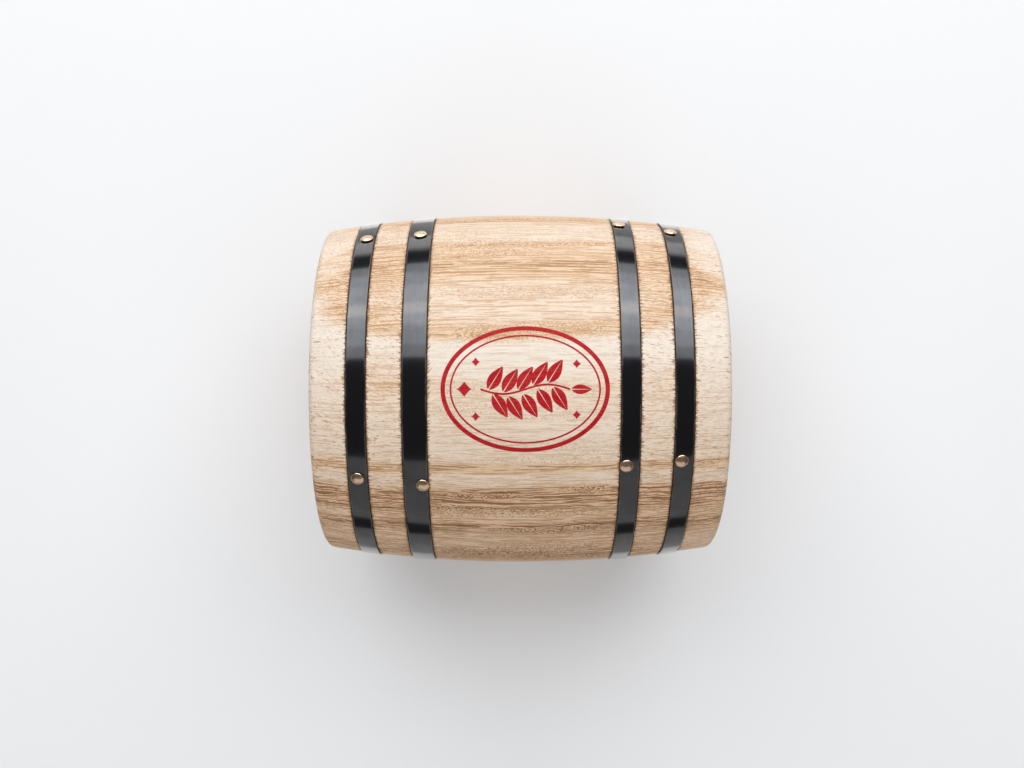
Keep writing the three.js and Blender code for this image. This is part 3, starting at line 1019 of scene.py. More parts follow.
class Workshop:
    """What the sub-assemblies share: the axis height, the node trees and the shader groups."""

    def __init__(self, axis_height: float) -> None:
        """Build the shared trees.

        Args:
            axis_height: Height of the barrel's axis above the floor, in millimetres.
        """
        self.axis_height = axis_height
        self.effects = SharedEffects()
        self.lathe = LatheTree()
        self.scatter = ScatterTree()
        self.made: list[bpy.types.Object] = []

    def dressed(self, look: Look) -> bpy.types.Material:
        """Return a look's material, built once."""
        known = bpy.data.materials.get(look.name)
        return known or look.material(self.effects, self.axis_height)

    def spot(self, x: float, radius: float, angle: float) -> Vector:
        """Return a place in metres from a length along the barrel, a radius and an angle in radians."""
        height = self.axis_height + radius * math.cos(angle)
        return Vector((x, -radius * math.sin(angle), height)) * MM

    def turn(
        self,
        name: str,
        profile: Sequence[Point],
        look: Look,
        stations: int,
        crease: float = 35.0,
        torn: Sequence[float] | None = None,
        ragged: Sequence[float] | None = None,
        raggedness: float = 0.0,
    ) -> bpy.types.Object:
        """Make a turned piece.

        Args:
            name: The piece's name.
            profile: Points of length along the barrel and radius. A closed ring repeats its first point.
            look: The look that it gets.
            stations: How many steps the turn has.
            crease: Edges that bend more than this many degrees stay sharp.
            torn: How torn the wood is at each point, from 0 for whole to 1, and above 1 up to 2 for painted
                shade.
            ragged: Which points are moved along the barrel to make a ragged edge.
            raggedness: How far those points move.

        Returns:
            The finished piece.
        """
        vertices = [(x * MM, 0.0, radius * MM) for x, radius in profile]
        piece = new_object(name, vertices, [(i, i + 1) for i in range(len(vertices) - 1)])
        mark(piece, "torn", "FLOAT", torn or [0.0] * len(vertices))
        mark(piece, "ragged", "FLOAT", ragged or [0.0] * len(vertices))
        self.lathe.run(
            piece,
            stations=stations,
            axis_height=self.axis_height * MM,
            crease=math.radians(crease),
            raggedness=raggedness * MM,
            material=self.dressed(look),
        )
        face_outwards(piece)
        return piece

    def set_on(
        self,
        piece: bpy.types.Object,
        stands: Sequence[Vector],
        points: Sequence[Vector],
        shape: bpy.types.Object,
        **inputs: Any,
    ) -> None:
        """Set copies of a shape on an object's points, and remove the shape.

        Args:
            piece: The object that holds the points and becomes the copies.
            stands: The direction in which each copy stands.
            points: The direction in which each copy points.
            shape: The shape that is copied.
            **inputs: The scatter tree's other inputs.
        """
        mark(piece, "stands", "FLOAT_VECTOR", stands)
        mark(piece, "points", "FLOAT_VECTOR", points)
        self.scatter.run(piece, shape=shape, **inputs)
        bpy.data.objects.remove(shape)

    def hand_over(self, piece: bpy.types.Object, body: str, slot: str | None, *nodes: str) -> None:
        """Let a piece ride on its body, in place of the CAD nodes that it stands for.

        Args:
            piece: The finished piece.
            body: The CAD body that it moves with.
            slot: A material slot's name, if the piece has one. It is not used.
            *nodes: The CAD nodes that it stands for.
        """
        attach(piece, body)
        if nodes:
            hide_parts(*nodes)
        self.made.append(piece)
        LOG.info("%s: %d faces on %s", piece.name, len(piece.data.polygons), body)


def arc(x: float, radius: float, size: float, start: float, end: float, steps: int) -> list[Point]:
    """Return points of an arc in a profile.

    Args:
        x: Length along the barrel of the arc's centre.
        radius: Radius of the arc's centre from the barrel's axis.
        size: Radius of the arc.
        start: First angle, from +X towards outwards.
        end: Last angle.
        steps: How many steps the arc has.

    Returns:
        The points from start to end.
    """
    angles = [math.radians(start + (end - start) * i / steps) for i in range(steps + 1)]
    return [(x + size * math.cos(angle), radius + size * math.sin(angle)) for angle in angles]


@dataclass
class Barrel:
    """The turned shell and its glued-in bottom head.

    Pairs that end in torn say how torn the wood is there and how ragged its edge is. A tornness above 1
    paints shade into the hoops' grooves.
    """

    shop: Workshop
    length: float
    bilge_radius: float = 66.5
    chime_radius: float = 60.75
    chime_wall: float = 6.5
    chime_round: float = 2.5
    rim_chamfer: float = 0.8
    ledge_width: float = 4.0
    base_recess: float = 9.0
    head_thickness: float = 9.0
    lid_recess: float = 12.0
    lid_flange: float = 7.0
    seat_gap: float = 0.2
    head_gap: float = 0.15
    groove_depth: float = 0.5
    groove_gap: float = 0.4
    tear_reach: float = 2.2
    tear_curve: float = 1.5
    gap_tear: float = 0.36
    end_tear: float = 0.30
    rim_tear: float = 0.34
    rim_reach: float = 7.0
    bilge_step: float = 2.0
    edge_steps: Triple = (0.3, 0.7, 1.3)
    edge_reach: float = 0.5
    edge_ragged: float = 0.4
    brink: float = 0.06
    # The brinks and the floor of each groove are torn past 1, which paints the groove's shade.
    brink_shaded_torn: Point = (1.3, 1.0)
    groove_shaded_torn: Point = (2.0, 0.6)
    inside_torn: Point = (0.1, 0.0)
    raggedness: float = 0.7
    ledge_chamfer: float = 0.5
    head_round: float = 1.2
    head_flat: float = 1.4
    head_chamfer: float = 0.3
    stations: int = 400
    head_stations: int = 160
    wood: BareWood = BareWood("turned_wood")
    board: BareWood = sawn_wood("head_board", (0.0, 90.0, 0.0), 74.0)

    @property
    def half(self) -> float:
        """Half the barrel's length."""
        return self.length / 2

    @property
    def rebate_radius(self) -> float:
        """Radius inside either rim."""
        return self.chime_radius - self.chime_wall

    @property
    def bore_radius(self) -> float:
        """Radius of the bore between the two ledges."""
        return self.rebate_radius - self.ledge_width

    def outside(self, x: float) -> float:
        """Return the outside radius at a length along the barrel."""
        return self.bilge_radius - (self.bilge_radius - self.chime_radius) * (x / self.half) ** 2

    @cached_property
    def grooves(self) -> list[tuple[float, float]]:
        """Where each hoop's groove starts and ends, in order along the barrel."""
        spans = []
        for name in HoopSet.names:
            low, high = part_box(name)
            spans.append((low.x / MM - self.groove_gap, high.x / MM + self.groove_gap))
        return sorted(spans)

    def torn(self, x: float) -> float:
        """Return how torn the wood is at a length along the barrel, most at a groove's edge."""
        near_groove = min(abs(x - edge) for span in self.grooves for edge in span)
        near_rim = self.half - abs(x)
        groove = max(0.0, 1.0 - near_groove / self.tear_reach) ** self.tear_curve
        rim = self.rim_tear * max(0.0, 1.0 - near_rim / self.rim_reach)
        if abs(x) > abs(self.grooves[0][0]):
            rough = self.end_tear
        else:
            rough = self.gap_tear if abs(x) > abs(self.grooves[1][0]) else 0.0
        return max(groove, rim, rough)

    def _shell_profile(self) -> list[tuple[float, float, float, float]]:
        """Return the shell's profile as x, radius, how torn the wood is, and how ragged the edge is."""
        near = (*self.edge_steps, self.tear_reach)
        corner = self.half - self.chime_round
        rounding = self.outside(corner) - self.chime_round
        points: list[tuple[float, float, float, float]] = []
        for x, radius in arc(-corner, rounding, self.chime_round, 180, 90, 6):
            points.append((x, radius, self.torn(x), 0.0))
        reached = -corner
        for start, end in self.grooves:
            points.extend(self._stretch(reached, start, near))
            # Painted shade: the brinks and the groove floor carry a tornness above 1, which darkens the
            # groove.
            points.append((start, self.outside(start) - self.brink, *self.brink_shaded_torn))
            for edge, inwards in ((start, self.brink), (end, -self.brink)):
                points.append((edge + inwards, self.outside(edge) - self.groove_depth, *self.groove_shaded_torn))
            points.append((end, self.outside(end) - self.brink, *self.brink_shaded_torn))
            reached = end
        points.extend(self._stretch(reached, corner, near))
        for x, radius in arc(corner, rounding, self.chime_round, 90, 0, 6):
            points.append((x, radius, self.torn(x), 0.0))
        base_ledge = -self.half + self.base_recess + self.head_thickness + self.seat_gap
        lid_ledge = self.half - self.lid_recess - self.lid_flange - self.seat_gap
        inside = [
            (self.half, self.rebate_radius + self.rim_chamfer),
            (self.half - self.rim_chamfer, self.rebate_radius),
            (lid_ledge, self.rebate_radius),
            (lid_ledge, self.bore_radius + self.ledge_chamfer),
            (lid_ledge - self.ledge_chamfer, self.bore_radius),
            (base_ledge, self.bore_radius),
            (base_ledge, self.rebate_radius),
            (-self.half + self.rim_chamfer, self.rebate_radius),
            (-self.half, self.rebate_radius + self.rim_chamfer),
        ]
        points.extend((x, radius, *self.inside_torn) for x, radius in inside)
        points.append(points[0])
        return points

    def _stretch(self, start: float, end: float, near: Sequence[float]) -> list[tuple]:
        """Return the profile between two edges, with closer points near both.

        Args:
            start: Where the stretch starts, along the barrel.
            end: Where it ends.
            near: Distances from either edge that get a point of their own.

        Returns:
            Points of x, radius, tornness and raggedness.
        """
        reach = near[-1]
        count = max(1, round((end - start - 2 * reach) / self.bilge_step))
        middle = [start + reach + (end - start - 2 * reach) * i / count for i in range(1, count)]
        places = [start + step for step in near] + middle + [end - step for step in reversed(near)]
        stretch = []
        for x in places:
            ragged = self.edge_ragged if min(x - start, end - x) < self.edge_reach else 0.0
            stretch.append((x, self.outside(x), self.torn(x), ragged))
        return stretch

    def build(self) -> None:
        """Make the shell and the bottom head."""
        points = self._shell_profile()
        shell = self.shop.turn(
            "turned_shell",
            [(x, radius) for x, radius, _, _ in points],
            self.wood,
            self.stations,
            torn=[torn for _, _, torn, _ in points],
            ragged=[ragged for _, _, _, ragged in points],
            raggedness=self.raggedness,
        )
        self.shop.hand_over(shell, "barrel", "shell_wood", "barrel_shell")
        outer = -self.half + self.base_recess
        radius = self.rebate_radius - self.head_gap
        inner = outer + self.head_thickness
        profile = [
            (outer, 0.0),
            (outer, radius - self.head_flat),
            *arc(outer + self.head_round, radius - self.head_round, self.head_round, 180, 90, 5),
            (inner - self.head_chamfer, radius),
            (inner, radius - self.head_chamfer),
            (inner, 0.0),
        ]
        head = self.shop.turn("bottom_board", profile, self.board, self.head_stations)
        self.shop.hand_over(head, "barrel", "head_wood", "bottom_head")


@dataclass
class HoopSet:
    """The four tacked hoops."""

    shop: Workshop
    barrel: Barrel
    thickness: float = 0.8
    seat_gap: float = 0.12
    edge_round: float = 0.16
    round_share: float = 0.9
    rubbed_width: float = 0.4
    lap: float = 18.0
    lap_gap: float = 0.1
    ramp: float = 9.0
    waviness: float = 0.05
    waves: tuple[int, ...] = (3, 7, 11, 19)
    corner: float = 1.4
    inner_rub: float = 0.3
    stations: int = 360
    lap_stations: int = 24
    enamel: BlackEnamel = BlackEnamel()

    names: ClassVar[tuple[str, ...]] = (
        "base_end_hoop", "base_quarter_hoop", "lid_quarter_hoop", "lid_end_hoop"
    )
    lap_tack: ClassVar[int] = 3

    def inner(self, x: float) -> float:
        """Return the hoop's inner radius at a length along the barrel."""
        return self.barrel.outside(x) - self.barrel.groove_depth + self.seat_gap

    def _section(self, half_width: float) -> list[tuple[float, float, float]]:
        """Return the strip's section as distances across and up, and how rubbed each point is."""
        size = min(self.edge_round, half_width * self.round_share)
        inside = max(half_width - self.rubbed_width, 0.0)
        section = [(inside, self.thickness, 0.0), (-inside, self.thickness, 0.0)]
        corners = [
            (-half_width + size, self.thickness - size, 90),
            (-half_width + size, size, 180),
            (half_width - size, size, 270),
            (half_width - size, self.thickness - size, 0),
        ]
        for across, up, start in corners:
            for step in range(3):
                angle = math.radians(start + 45 * step)
                rubbed = 1.0 if up > size else self.inner_rub
                section.append((across + size * math.cos(angle), up + size * math.sin(angle), rubbed))
        return section

    def _hoop(self, name: str) -> bpy.types.Object:
        """Make one hoop, a strip that is wound once round with its end lapped over its start.

        Args:
            name: The CAD node that it stands for.

        Returns:
            The hoop's object.
        """
        low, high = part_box(name)
        middle = (low.x + high.x) / 2 / MM
        half_width = (high.x - low.x) / 2 / MM
        lap_angle = TackSet.axis_of(f"{name}_tack_{self.lap_tack}", self.shop)[2]
        radius = self.inner(middle)
        lap_turn = self.lap / radius
        ramp_turn = self.ramp / radius
        first = lap_angle - lap_turn / 2
        count = self.stations + self.lap_stations
        total = math.tau + lap_turn
        wave = random.Random(name)
        phases = [(wave.uniform(0, math.tau), cycles) for cycles in self.waves]
        vertices, rubs = [], []
        for step in range(count + 1):
            turn = total * step / count
            lift = (turn - (math.tau - ramp_turn)) / ramp_turn
            lift = min(max(lift, 0.0), 1.0)
            lift = lift * lift * (3 - 2 * lift) * (self.thickness + self.lap_gap)
            from_end = max(0.0, min(turn, total - turn)) * radius
            cut = 0.0
            if from_end < self.corner:
                cut = self.corner - math.sqrt(self.corner**2 - (self.corner - from_end) ** 2)
            sway = sum(math.sin(cycles * turn + phase) for phase, cycles in phases) * self.waviness / 2
            for across, up, rubbed in self._section(half_width - cut):
                x = middle + across + sway
                vertices.append(self.shop.spot(x, self.inner(x) + lift + up, first + turn))
                rubs.append(rubbed)
        around = len(self._section(half_width))
        faces = ring_faces(count + 1, around)
        faces.append(tuple(range(around)))
        faces.append(tuple(range(count * around, (count + 1) * around)))
        piece = new_object(f"{name}_strip", vertices, (), faces)
        mark(piece, "rim", "FLOAT", rubs)
        piece.data.materials.append(self.shop.dressed(self.enamel))
        piece.data.polygons.foreach_set("use_smooth", [True] * len(faces))
        face_outwards(piece)
        return piece

    def build(self) -> None:
        """Make all four hoops."""
        for name in self.names:
            self.shop.hand_over(self._hoop(name), "barrel", "hoop_steel", name)


@dataclass
class TackSet:
    """The domed tacks that hold the hoops."""

    shop: Workshop
    head_radius: float = 2.3
    head_rise: float = 1.2
    wall: float = 0.25
    edge_round: float = 0.35
    dome_slope: float = 30.0
    shank_radius: float = 0.75
    shank: float = 6.0
    point: float = 2.0
    rim_inset: float = 0.15
    rim_rise: float = 0.1
    flats: int = 40
    dome_steps: int = 10
    per_hoop: int = 4
    joint: float = 1e-7
    golden_tint: float = 0.1
    pink_tint: float = 0.8
    tint_spread: float = 0.1
    copper: TarnishedCopper = TarnishedCopper()
    seed: int = 5

    @staticmethod
    def axis_of(node: str, shop: Workshop) -> tuple[Vector, Vector, float]:
        """Find where a CAD tack stands.

        Args:
            node: The CAD tack's name.
            shop: The workshop, for the height of the barrel's axis.

        Returns:
            The middle of the top of its head, the direction it stands in and its angle in radians.
        """
        height = shop.axis_height * MM

        def reach(place: Vector) -> float:
            """Return a place's distance from the barrel's axis."""
            return math.hypot(place.y, place.z - height)

        places = [vertex.co for vertex in bpy.data.objects[node].data.vertices]
        tip = min(places, key=reach)
        middle = sum(places, Vector()) / len(places)
        direction = (middle - tip).normalized()
        top = tip + direction * max((place - tip).dot(direction) for place in places)
        return top, direction, math.atan2(-top.y, top.z - height)

    def _head(self) -> bpy.types.Object:
        """Make one tack, standing along Z with its head's seat head_rise below the origin.

        The head is a flat dome with a rounded edge.
        """
        seat = -self.head_rise
        profile = [
            (0.0, seat - self.shank),
            (self.shank_radius, seat - self.shank + self.point),
            (self.shank_radius, seat),
            (self.head_radius - self.rim_inset, seat),
            (self.head_radius, seat + self.rim_rise),
        ]
        corner = self.head_radius - self.edge_round
        for height, radius in arc(seat + self.wall, corner, self.edge_round, 90, self.dome_slope, 6):
            profile.append((radius, height))
        edge, brink = profile[-1]
        rise = edge * math.tan(math.radians(self.dome_slope)) / 2
        for step in range(1, self.dome_steps + 1):
            share = 1 - step / self.dome_steps
            profile.append((edge * share, brink + rise * (1 - share * share)))
        vertices, foot = [], []
        for radius, height in profile:
            for step in range(self.flats):
                angle = math.tau * step / self.flats
                spot = (radius * math.cos(angle), radius * math.sin(angle), height)
                vertices.append(Vector(spot) * MM)
                foot.append(1.0 if height < seat + self.wall else 0.0)
        head = new_object("tack_shape", vertices, (), ring_faces(len(profile), self.flats))
        mark(head, "foot", "FLOAT", foot)
        mesh = bmesh.new()
        mesh.from_mesh(head.data)
        bmesh.ops.remove_doubles(mesh, verts=mesh.verts, dist=self.joint)
        bmesh.ops.recalc_face_normals(mesh, faces=mesh.faces)
        mesh.to_mesh(head.data)
        mesh.free()
        head.data.polygons.foreach_set("use_smooth", [True] * len(head.data.polygons))
        return head

    def build(self) -> None:
        """Set a tack where each CAD tack is."""
        numbers = range(1, self.per_hoop + 1)
        nodes = [f"{hoop}_tack_{number}" for hoop in HoopSet.names for number in numbers]
        stands = [self.axis_of(node, self.shop) for node in nodes]
        tacks = new_object("hoop_tacks", [top for top, _, _ in stands])
        draw = random.Random(self.seed)
        tints = []
        for node in nodes:
            tint = self.golden_tint if "base_quarter" in node else self.pink_tint
            tints.append(tint + draw.uniform(-self.tint_spread, self.tint_spread))
        mark(tacks, "tint", "FLOAT", tints)
        self.shop.set_on(
            tacks,
            [direction for _, direction, _ in stands],
            [Vector((1.0, 0.0, 0.0))] * len(stands),
            self._head(),
            smallest=(1.0, 1.0, 1.0),
            largest=(1.0, 1.0, 1.0),
            spin=math.pi,
            share=1.0,
            seed=self.seed,
            material=self.shop.dressed(self.copper),
        )
        self.shop.hand_over(tacks, "barrel", "tack_copper", *nodes)


@dataclass
class Lid:
    """The push-in lid with its seal, knob and screw."""

    shop: Workshop
    barrel: Barrel
    clearance: float = 0.3
    plug_depth: float = 11.0
    seal_width: float = 4.0
    seal_inset: float = 3.0
    seal_depth: float = 2.4
    knob_below_rim: float = 2.5
    knob_radius: float = 12.0
    foot_radius: float = 8.5
    waist_radius: float = 6.8
    screw_radius: float = 1.75
    screw_head: float = 3.6
    recess_arm: float = 2.0
    recess_slot: float = 0.8
    recess_depth: float = 1.5
    recess_mouth: float = 1.1
    recess_floor: float = 0.55
    recess_over: float = 0.3
    hole_gap: float = 0.2
    sink: float = 2.1
    plug_round: float = 1.5
    plug_flat: float = 1.7
    flange_chamfer: float = 0.3
    flange_round: float = 1.2
    seal_gap: float = 0.2
    seal_clearance: float = 0.12
    foot_gap: float = 0.15
    foot_chamfer: float = 0.3
    foot_height: float = 1.2
    foot_taper: float = 0.4
    waist_height: float = 2.6
    brim_depth: float = 3.4
    brim_round: float = 1.0
    brim_middle: float = 1.1
    bell_curve: float = 2.2
    bell_steps: int = 6
    crown_steps: int = 8
    crown: float = 1.2
    crown_inset: float = 0.6
    well_tip: float = 3.0
    well_shoulder: float = 5.4
    screw_tip: float = 3.3
    screw_point: float = 2.4
    screw_edge: float = 0.15
    screw_inset: float = 0.2
    disc_stations: int = 200
    seal_stations: int = 160
    knob_stations: int = 96
    screw_stations: int = 48
    board: BareWood = sawn_wood("lid_board", (0.0, 90.0, 0.0), 98.0)
    knob_wood: BareWood = sawn_wood("knob_wood", (0.0, 0.0, 0.0), 20.0)
    silicone: SmoothFinish = SmoothFinish(
        "white_silicone", (0.80, 0.79, 0.76, 1.0), (0.72, 0.71, 0.68, 1.0), (0.45, 0.15), 0.0
    )
    zinc: SmoothFinish = SmoothFinish(
        "zinc_plate", (0.62, 0.62, 0.60, 1.0), (0.50, 0.49, 0.46, 1.0), (0.25, 0.15), 1.0
    )

    def build(self) -> None:
        """Make the lid's four pieces."""
        barrel = self.barrel
        seat = barrel.half - barrel.lid_recess - barrel.lid_flange
        face = seat + barrel.lid_flange
        flange = barrel.rebate_radius - self.clearance
        plug = barrel.bore_radius - self.clearance
        floor = plug - self.seal_depth
        bottom = seat - self.plug_depth
        hole = self.screw_radius + self.hole_gap
        outer_wall = seat - self.seal_inset
        inner_wall = outer_wall - self.seal_width
        disc = [
            (bottom + self.sink, hole),
            (bottom, self.screw_head + self.hole_gap),
            (bottom, plug - self.plug_flat),
            *arc(bottom + self.plug_round, plug - self.plug_round, self.plug_round, 180, 90, 4),
            (inner_wall, plug),
            (inner_wall, floor),
            (outer_wall, floor),
            (outer_wall, plug),
            (seat, plug),
            (seat, flange - self.flange_chamfer),
            (seat + self.flange_chamfer, flange),
            *arc(face - self.flange_round, flange - self.flange_round, self.flange_round, 90, 0, 5),
            (face, hole),
            (bottom + self.sink, hole),
        ]
        board = self.shop.turn("lid_board", disc, self.board, self.disc_stations)
        self.shop.hand_over(board, "lid", "head_wood", "lid_disc")
        start, end = inner_wall + self.seal_gap, outer_wall - self.seal_gap
        lip = (end - start) / 2
        ring = [
            *arc(start + lip, barrel.bore_radius - self.seal_clearance - lip, lip, 180, 0, 12),
            (end, floor + self.seal_gap),
            (start, floor + self.seal_gap),
        ]
        ring.append(ring[0])
        seal = self.shop.turn("plug_seal", ring, self.silicone, self.seal_stations)
        self.shop.hand_over(seal, "lid", "seal_silicone", "lid_seal")
        self._build_knob(face)
        self._build_screw(bottom)

    def _build_knob(self, face: float) -> None:
        """Make the turned knob.

        Args:
            face: Where the lid's outer face is, along the barrel.
        """
        top = self.barrel.half - self.knob_below_rim
        foot = face + self.foot_gap
        hole = self.screw_radius + self.hole_gap
        profile = [
            (top - self.well_tip, 0.0),
            (top - self.well_shoulder, hole),
            (foot, hole),
            (foot, self.foot_radius - self.foot_chamfer),
            (foot + self.foot_chamfer, self.foot_radius),
            (foot + self.foot_height, self.foot_radius - self.foot_taper),
        ]
        waist = foot + self.waist_height
        brim = top - self.brim_depth
        for step in range(self.bell_steps + 1):
            share = step / self.bell_steps
            bell = self.waist_radius + (self.knob_radius - self.waist_radius) * share**self.bell_curve
            profile.append((waist + (brim - waist) * share, bell))
        inside = self.knob_radius - self.brim_round
        profile.extend(arc(brim + self.brim_middle, inside, self.brim_round, 150, 30, 5)[1:])
        edge = self.knob_radius - self.crown_inset
        for step in range(1, self.crown_steps + 1):
            angle = math.pi / 2 * step / self.crown_steps
            profile.append((top - self.crown + self.crown * math.sin(angle), edge * math.cos(angle)))
        knob = self.shop.turn("turned_knob", profile, self.knob_wood, self.knob_stations)
        self.shop.hand_over(knob, "lid", "head_wood", "lid_knob")

    def _build_screw(self, bottom: float) -> None:
        """Make the countersunk screw with a crossed recess in its head.

        Args:
            bottom: Where the plug's inner face is, along the barrel.
        """
        head = bottom + self.screw_inset
        tip = self.barrel.half - self.knob_below_rim - self.screw_tip
        profile = [
            (head, 0.0),
            (head, self.screw_head - self.screw_edge),
            (head + self.screw_edge, self.screw_head),
            (head + self.sink, self.screw_radius),
            (tip - self.screw_point, self.screw_radius),
            (tip, 0.0),
        ]
        screw = self.shop.turn("knob_screw_zinc", profile, self.zinc, self.screw_stations)
        self._cut_recess(screw, head)
        self.shop.hand_over(screw, "lid", "screw_steel", "knob_screw")

    def _cut_recess(self, screw: bpy.types.Object, head: float) -> None:
        """Cut a crossed recess that narrows as it goes in.

        Args:
            screw: The screw's object.
            head: Where the head's flat face is, along the barrel.
        """
        arm, half = self.recess_arm, self.recess_slot / 2
        corner = [(arm, -half), (arm, half), (half, half)]
        outline = []
        for cosine, sine in ((1, 0), (0, 1), (-1, 0), (0, -1)):
            outline.extend((u * cosine - v * sine, u * sine + v * cosine) for u, v in corner)
        vertices = []
        mouth = (head - self.recess_over, self.recess_mouth)
        for x, size in (mouth, (head + self.recess_depth, self.recess_floor)):
            for u, v in outline:
                vertices.append(Vector((x, u * size, self.shop.axis_height + v * size)) * MM)
        count = len(outline)
        faces = ring_faces(2, count)
        faces.append(tuple(range(count)))
        faces.append(tuple(range(count, 2 * count)))
        cutter = new_object("recess_shape", vertices, (), faces)
        face_outwards(cutter)
        modifier = screw.modifiers.new("recess", "BOOLEAN")
        modifier.operation = "DIFFERENCE"
        modifier.object = cutter
        keep_result(screw)
        bpy.data.objects.remove(cutter)


@dataclass
class TornFibres:
    """Slivers of wood that the turning tool lifted along the edges of the hoops' grooves."""

    shop: Workshop
    barrel: Barrel
    root: float = 0.35
    reach: float = 0.3
    width: float = 0.16
    thickness: float = 0.06
    depth: float = 0.05
    around: int = 460
    jitter: float = 0.4
    spin: float = 0.35
    smallest: Triple = (0.5, 0.7, 0.7)
    largest: Triple = (1.25, 1.9, 1.2)
    share: float = 0.5
    seed: int = 11

    def _sliver(self) -> bpy.types.Object:
        """Make one sliver, lying along X with its tip at +X."""
        half, up = self.width / 2, self.thickness
        root = -self.root
        corners = [(root, -half, -up), (root, half, -up), (root, 0.0, up), (self.reach, 0.0, 0.0)]
        faces = [(0, 1, 3), (1, 2, 3), (2, 0, 3), (0, 2, 1)]
        sliver = new_object("sliver_shape", [Vector(corner) * MM for corner in corners], (), faces)
        face_outwards(sliver)
        return sliver

    def build(self) -> None:
        """Set slivers along both edges of each groove."""
        draw = random.Random(self.seed)
        spots, stands, points = [], [], []
        for start, end in self.barrel.grooves:
            for x, side in ((start, 1.0), (end, -1.0)):
                for step in range(self.around):
                    angle = math.tau * (step + draw.uniform(-self.jitter, self.jitter)) / self.around
                    spots.append(self.shop.spot(x, self.barrel.outside(x) - self.depth, angle))
                    stands.append(Vector((0.0, -math.sin(angle), math.cos(angle))))
                    points.append(Vector((side, 0.0, 0.0)))
        fibres = new_object("torn_fibres", spots)
        self.shop.set_on(
            fibres,
            stands,
            points,
            self._sliver(),
            smallest=self.smallest,
            largest=self.largest,
            spin=self.spin,
            share=self.share,
            seed=self.seed,
            material=self.shop.dressed(self.barrel.wood),
        )
        self.shop.hand_over(fibres, "barrel", "shell_wood")


